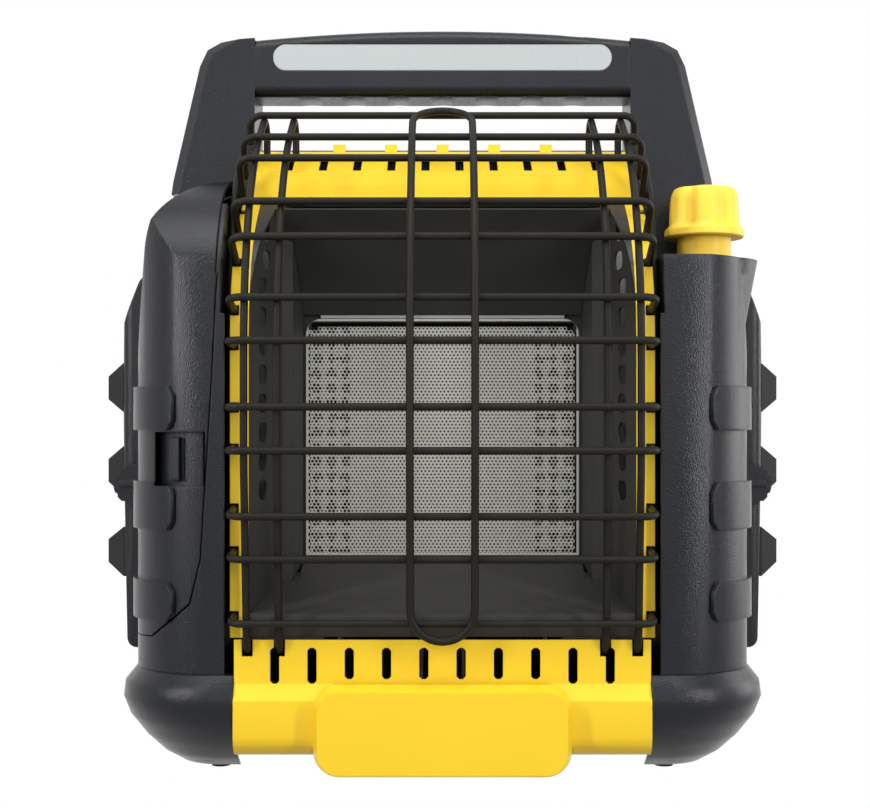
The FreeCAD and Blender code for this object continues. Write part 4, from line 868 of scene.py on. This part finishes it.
def screen_points(low, high, wanted):
    """Staggered points over the screen's face, either plain or in the side diamonds."""
    points = []
    row_height = HOLE_PITCH * math.sqrt(3) / 2
    rows = int((high.z - low.z - 2 * SCREEN_MARGIN) / row_height)
    columns = int((high.x - low.x - 2 * SCREEN_MARGIN) / HOLE_PITCH)
    for row in range(rows):
        shift = HOLE_PITCH / 2 if row % 2 else 0.0
        for column in range(columns):
            x = low.x + SCREEN_MARGIN + shift + HOLE_PITCH * column
            z = low.z + SCREEN_MARGIN + row_height * row
            corner = x * x > CORNER_X ** 2 and z > high.z - CORNER_DROP
            if in_band(x, z) == wanted and not corner:
                points.append((x, low.y, z))
    return points


def punched_part(low, high, wide):
    """The plain holes or the wide ones, as a real mesh made by the geometry nodes."""
    radius = WIDE_HOLE_RADIUS if wide else HOLE_RADIUS
    mesh = bpy.data.meshes.new("screen_points")
    mesh.from_pydata(screen_points(low, high, wide), [], [])
    holder = bpy.data.objects.new("screen_points", mesh)
    scene.collection.objects.link(holder)
    cell = hole_cell("screen_cell", radius)
    modifier = holder.modifiers.new("holes", "NODES")
    modifier.node_group = screen_nodes
    modifier[cell_socket] = cell
    depsgraph = bpy.context.evaluated_depsgraph_get()
    real = bpy.data.meshes.new_from_object(holder.evaluated_get(depsgraph))
    holder.modifiers.remove(modifier)
    bpy.data.objects.remove(holder)
    bpy.data.objects.remove(cell)
    return real


def screen_border(low, high, shape):
    """The plain rim of the sheet, with its two rounded upper corners, round the punched field."""
    inset = SCREEN_MARGIN - HOLE_PITCH / 2
    rim = [(low.x, low.z), (high.x, low.z)]
    for centre_x, start in ((high.x - RIM_BEND, 0.0), (low.x + RIM_BEND, math.pi / 2)):
        for step in range(RIM_STEPS + 1):
            angle = start + math.pi / 2 * step / RIM_STEPS
            rim.append((centre_x + RIM_BEND * math.cos(angle),
                        high.z - RIM_BEND + RIM_BEND * math.sin(angle)))
    middle = (low + high) / 2
    inner = []
    for x, z in rim:
        reach_x = (high.x - low.x) / 2 - inset
        reach_z = (high.z - low.z) / 2 - inset
        inner.append((middle.x + max(-reach_x, min(reach_x, x - middle.x)),
                      middle.z + max(-reach_z, min(reach_z, z - middle.z))))
    count = len(rim)
    front = [shape.verts.new((x, low.y, z)) for x, z in rim + inner]
    back = [shape.verts.new((x, low.y + RIM_DEPTH, z)) for x, z in rim]
    for index in range(count):
        after = (index + 1) % count
        quad = [front[index], front[after], front[count + after], front[count + index]]
        if (quad[2].co - quad[3].co).length > 1e-7:
            shape.faces.new(quad)
        else:
            shape.faces.new(quad[:3])
        shape.faces.new([front[after], front[index], back[index], back[after]])


def perforated_screen():
    """The burner screen as real punched metal."""
    low, high = [Vector(corner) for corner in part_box("burner_screen")]
    shape = bmesh.new()
    for wide in (False, True):
        shape.from_mesh(punched_part(low, high, wide))
    screen_border(low, high, shape)
    whole = bpy.data.meshes.new("perforated_screen")
    shape.to_mesh(whole)
    shape.free()
    thing = bpy.data.objects.new("perforated_screen", whole)
    scene.collection.objects.link(thing)
    return thing


screen_nodes, cell_socket = make_screen_nodes(MATERIALS["screen_steel"])
screen = adopt(perforated_screen(), "burner_screen")
print("screen faces:", len(screen.data.polygons))

# %% [markdown]
# ## Light and backdrop
# The photograph is a product shot on pure white: soft light from both sides and above. The
# camera and the reflections see white, while a dimmer sky, two tall lamps at the sides and three
# wide ones light the heater, so dark plastic keeps its depth and still shows bright corners.

# %% Light
SKY_STRENGTH = 0.34
scene.view_settings.view_transform = "Standard"
world = bpy.data.worlds.new("studio")
scene.world = world
world.use_nodes = True
world_nodes = world.node_tree.nodes
world_links = world.node_tree.links
world_nodes.clear()
out = world_nodes.new("ShaderNodeOutputWorld")
mix = world_nodes.new("ShaderNodeMixShader")
path = world_nodes.new("ShaderNodeLightPath")
seen = world_nodes.new("ShaderNodeBackground")
seen.inputs["Color"].default_value = (1, 1, 1, 1)
sky = world_nodes.new("ShaderNodeBackground")
sky.inputs["Color"].default_value = (0.95, 0.97, 1.0, 1)
sky.inputs["Strength"].default_value = SKY_STRENGTH
shown = world_nodes.new("ShaderNodeMath")
shown.operation = "MAXIMUM"
world_links.new(path.outputs["Is Camera Ray"], shown.inputs[0])
world_links.new(path.outputs["Is Glossy Ray"], shown.inputs[1])
shown_too = world_nodes.new("ShaderNodeMath")
shown_too.operation = "MAXIMUM"
world_links.new(shown.outputs[0], shown_too.inputs[0])
world_links.new(path.outputs["Is Transmission Ray"], shown_too.inputs[1])
world_links.new(shown_too.outputs[0], mix.inputs["Fac"])
world_links.new(sky.outputs[0], mix.inputs[1])
world_links.new(seen.outputs[0], mix.inputs[2])
world_links.new(mix.outputs[0], out.inputs["Surface"])


def area_light(name, place, aim, power, width, height):
    """A wide lamp that points at a place."""
    data = bpy.data.lights.new(name, "AREA")
    data.shape = "RECTANGLE"
    data.size = width
    data.size_y = height
    data.energy = power
    lamp = bpy.data.objects.new(name, data)
    scene.collection.objects.link(lamp)
    lamp.location = place
    direction = Vector(aim) - Vector(place)
    lamp.rotation_euler = direction.to_track_quat("-Z", "Y").to_euler()
    return lamp


HEATER_MIDDLE = (0.0, 0.0, 0.2)
lamps = [
    area_light("left_softbox", (-0.72, -0.62, 0.50), HEATER_MIDDLE, 5.0, 0.09, 0.62),
    area_light("right_softbox", (0.72, -0.66, 0.44), HEATER_MIDDLE, 4.8, 0.09, 0.70),
    area_light("right_rim", (1.20, 0.30, 0.40), HEATER_MIDDLE, 5.0, 0.6, 0.8),
    area_light("top_softbox", (0.0, -0.45, 1.1), HEATER_MIDDLE, 7.0, 0.9, 0.5),
    area_light("front_fill", (0.0, -1.5, 0.60), HEATER_MIDDLE, 3.4, 0.9, 0.6),
]
print("lamps:", [lamp.name for lamp in lamps])
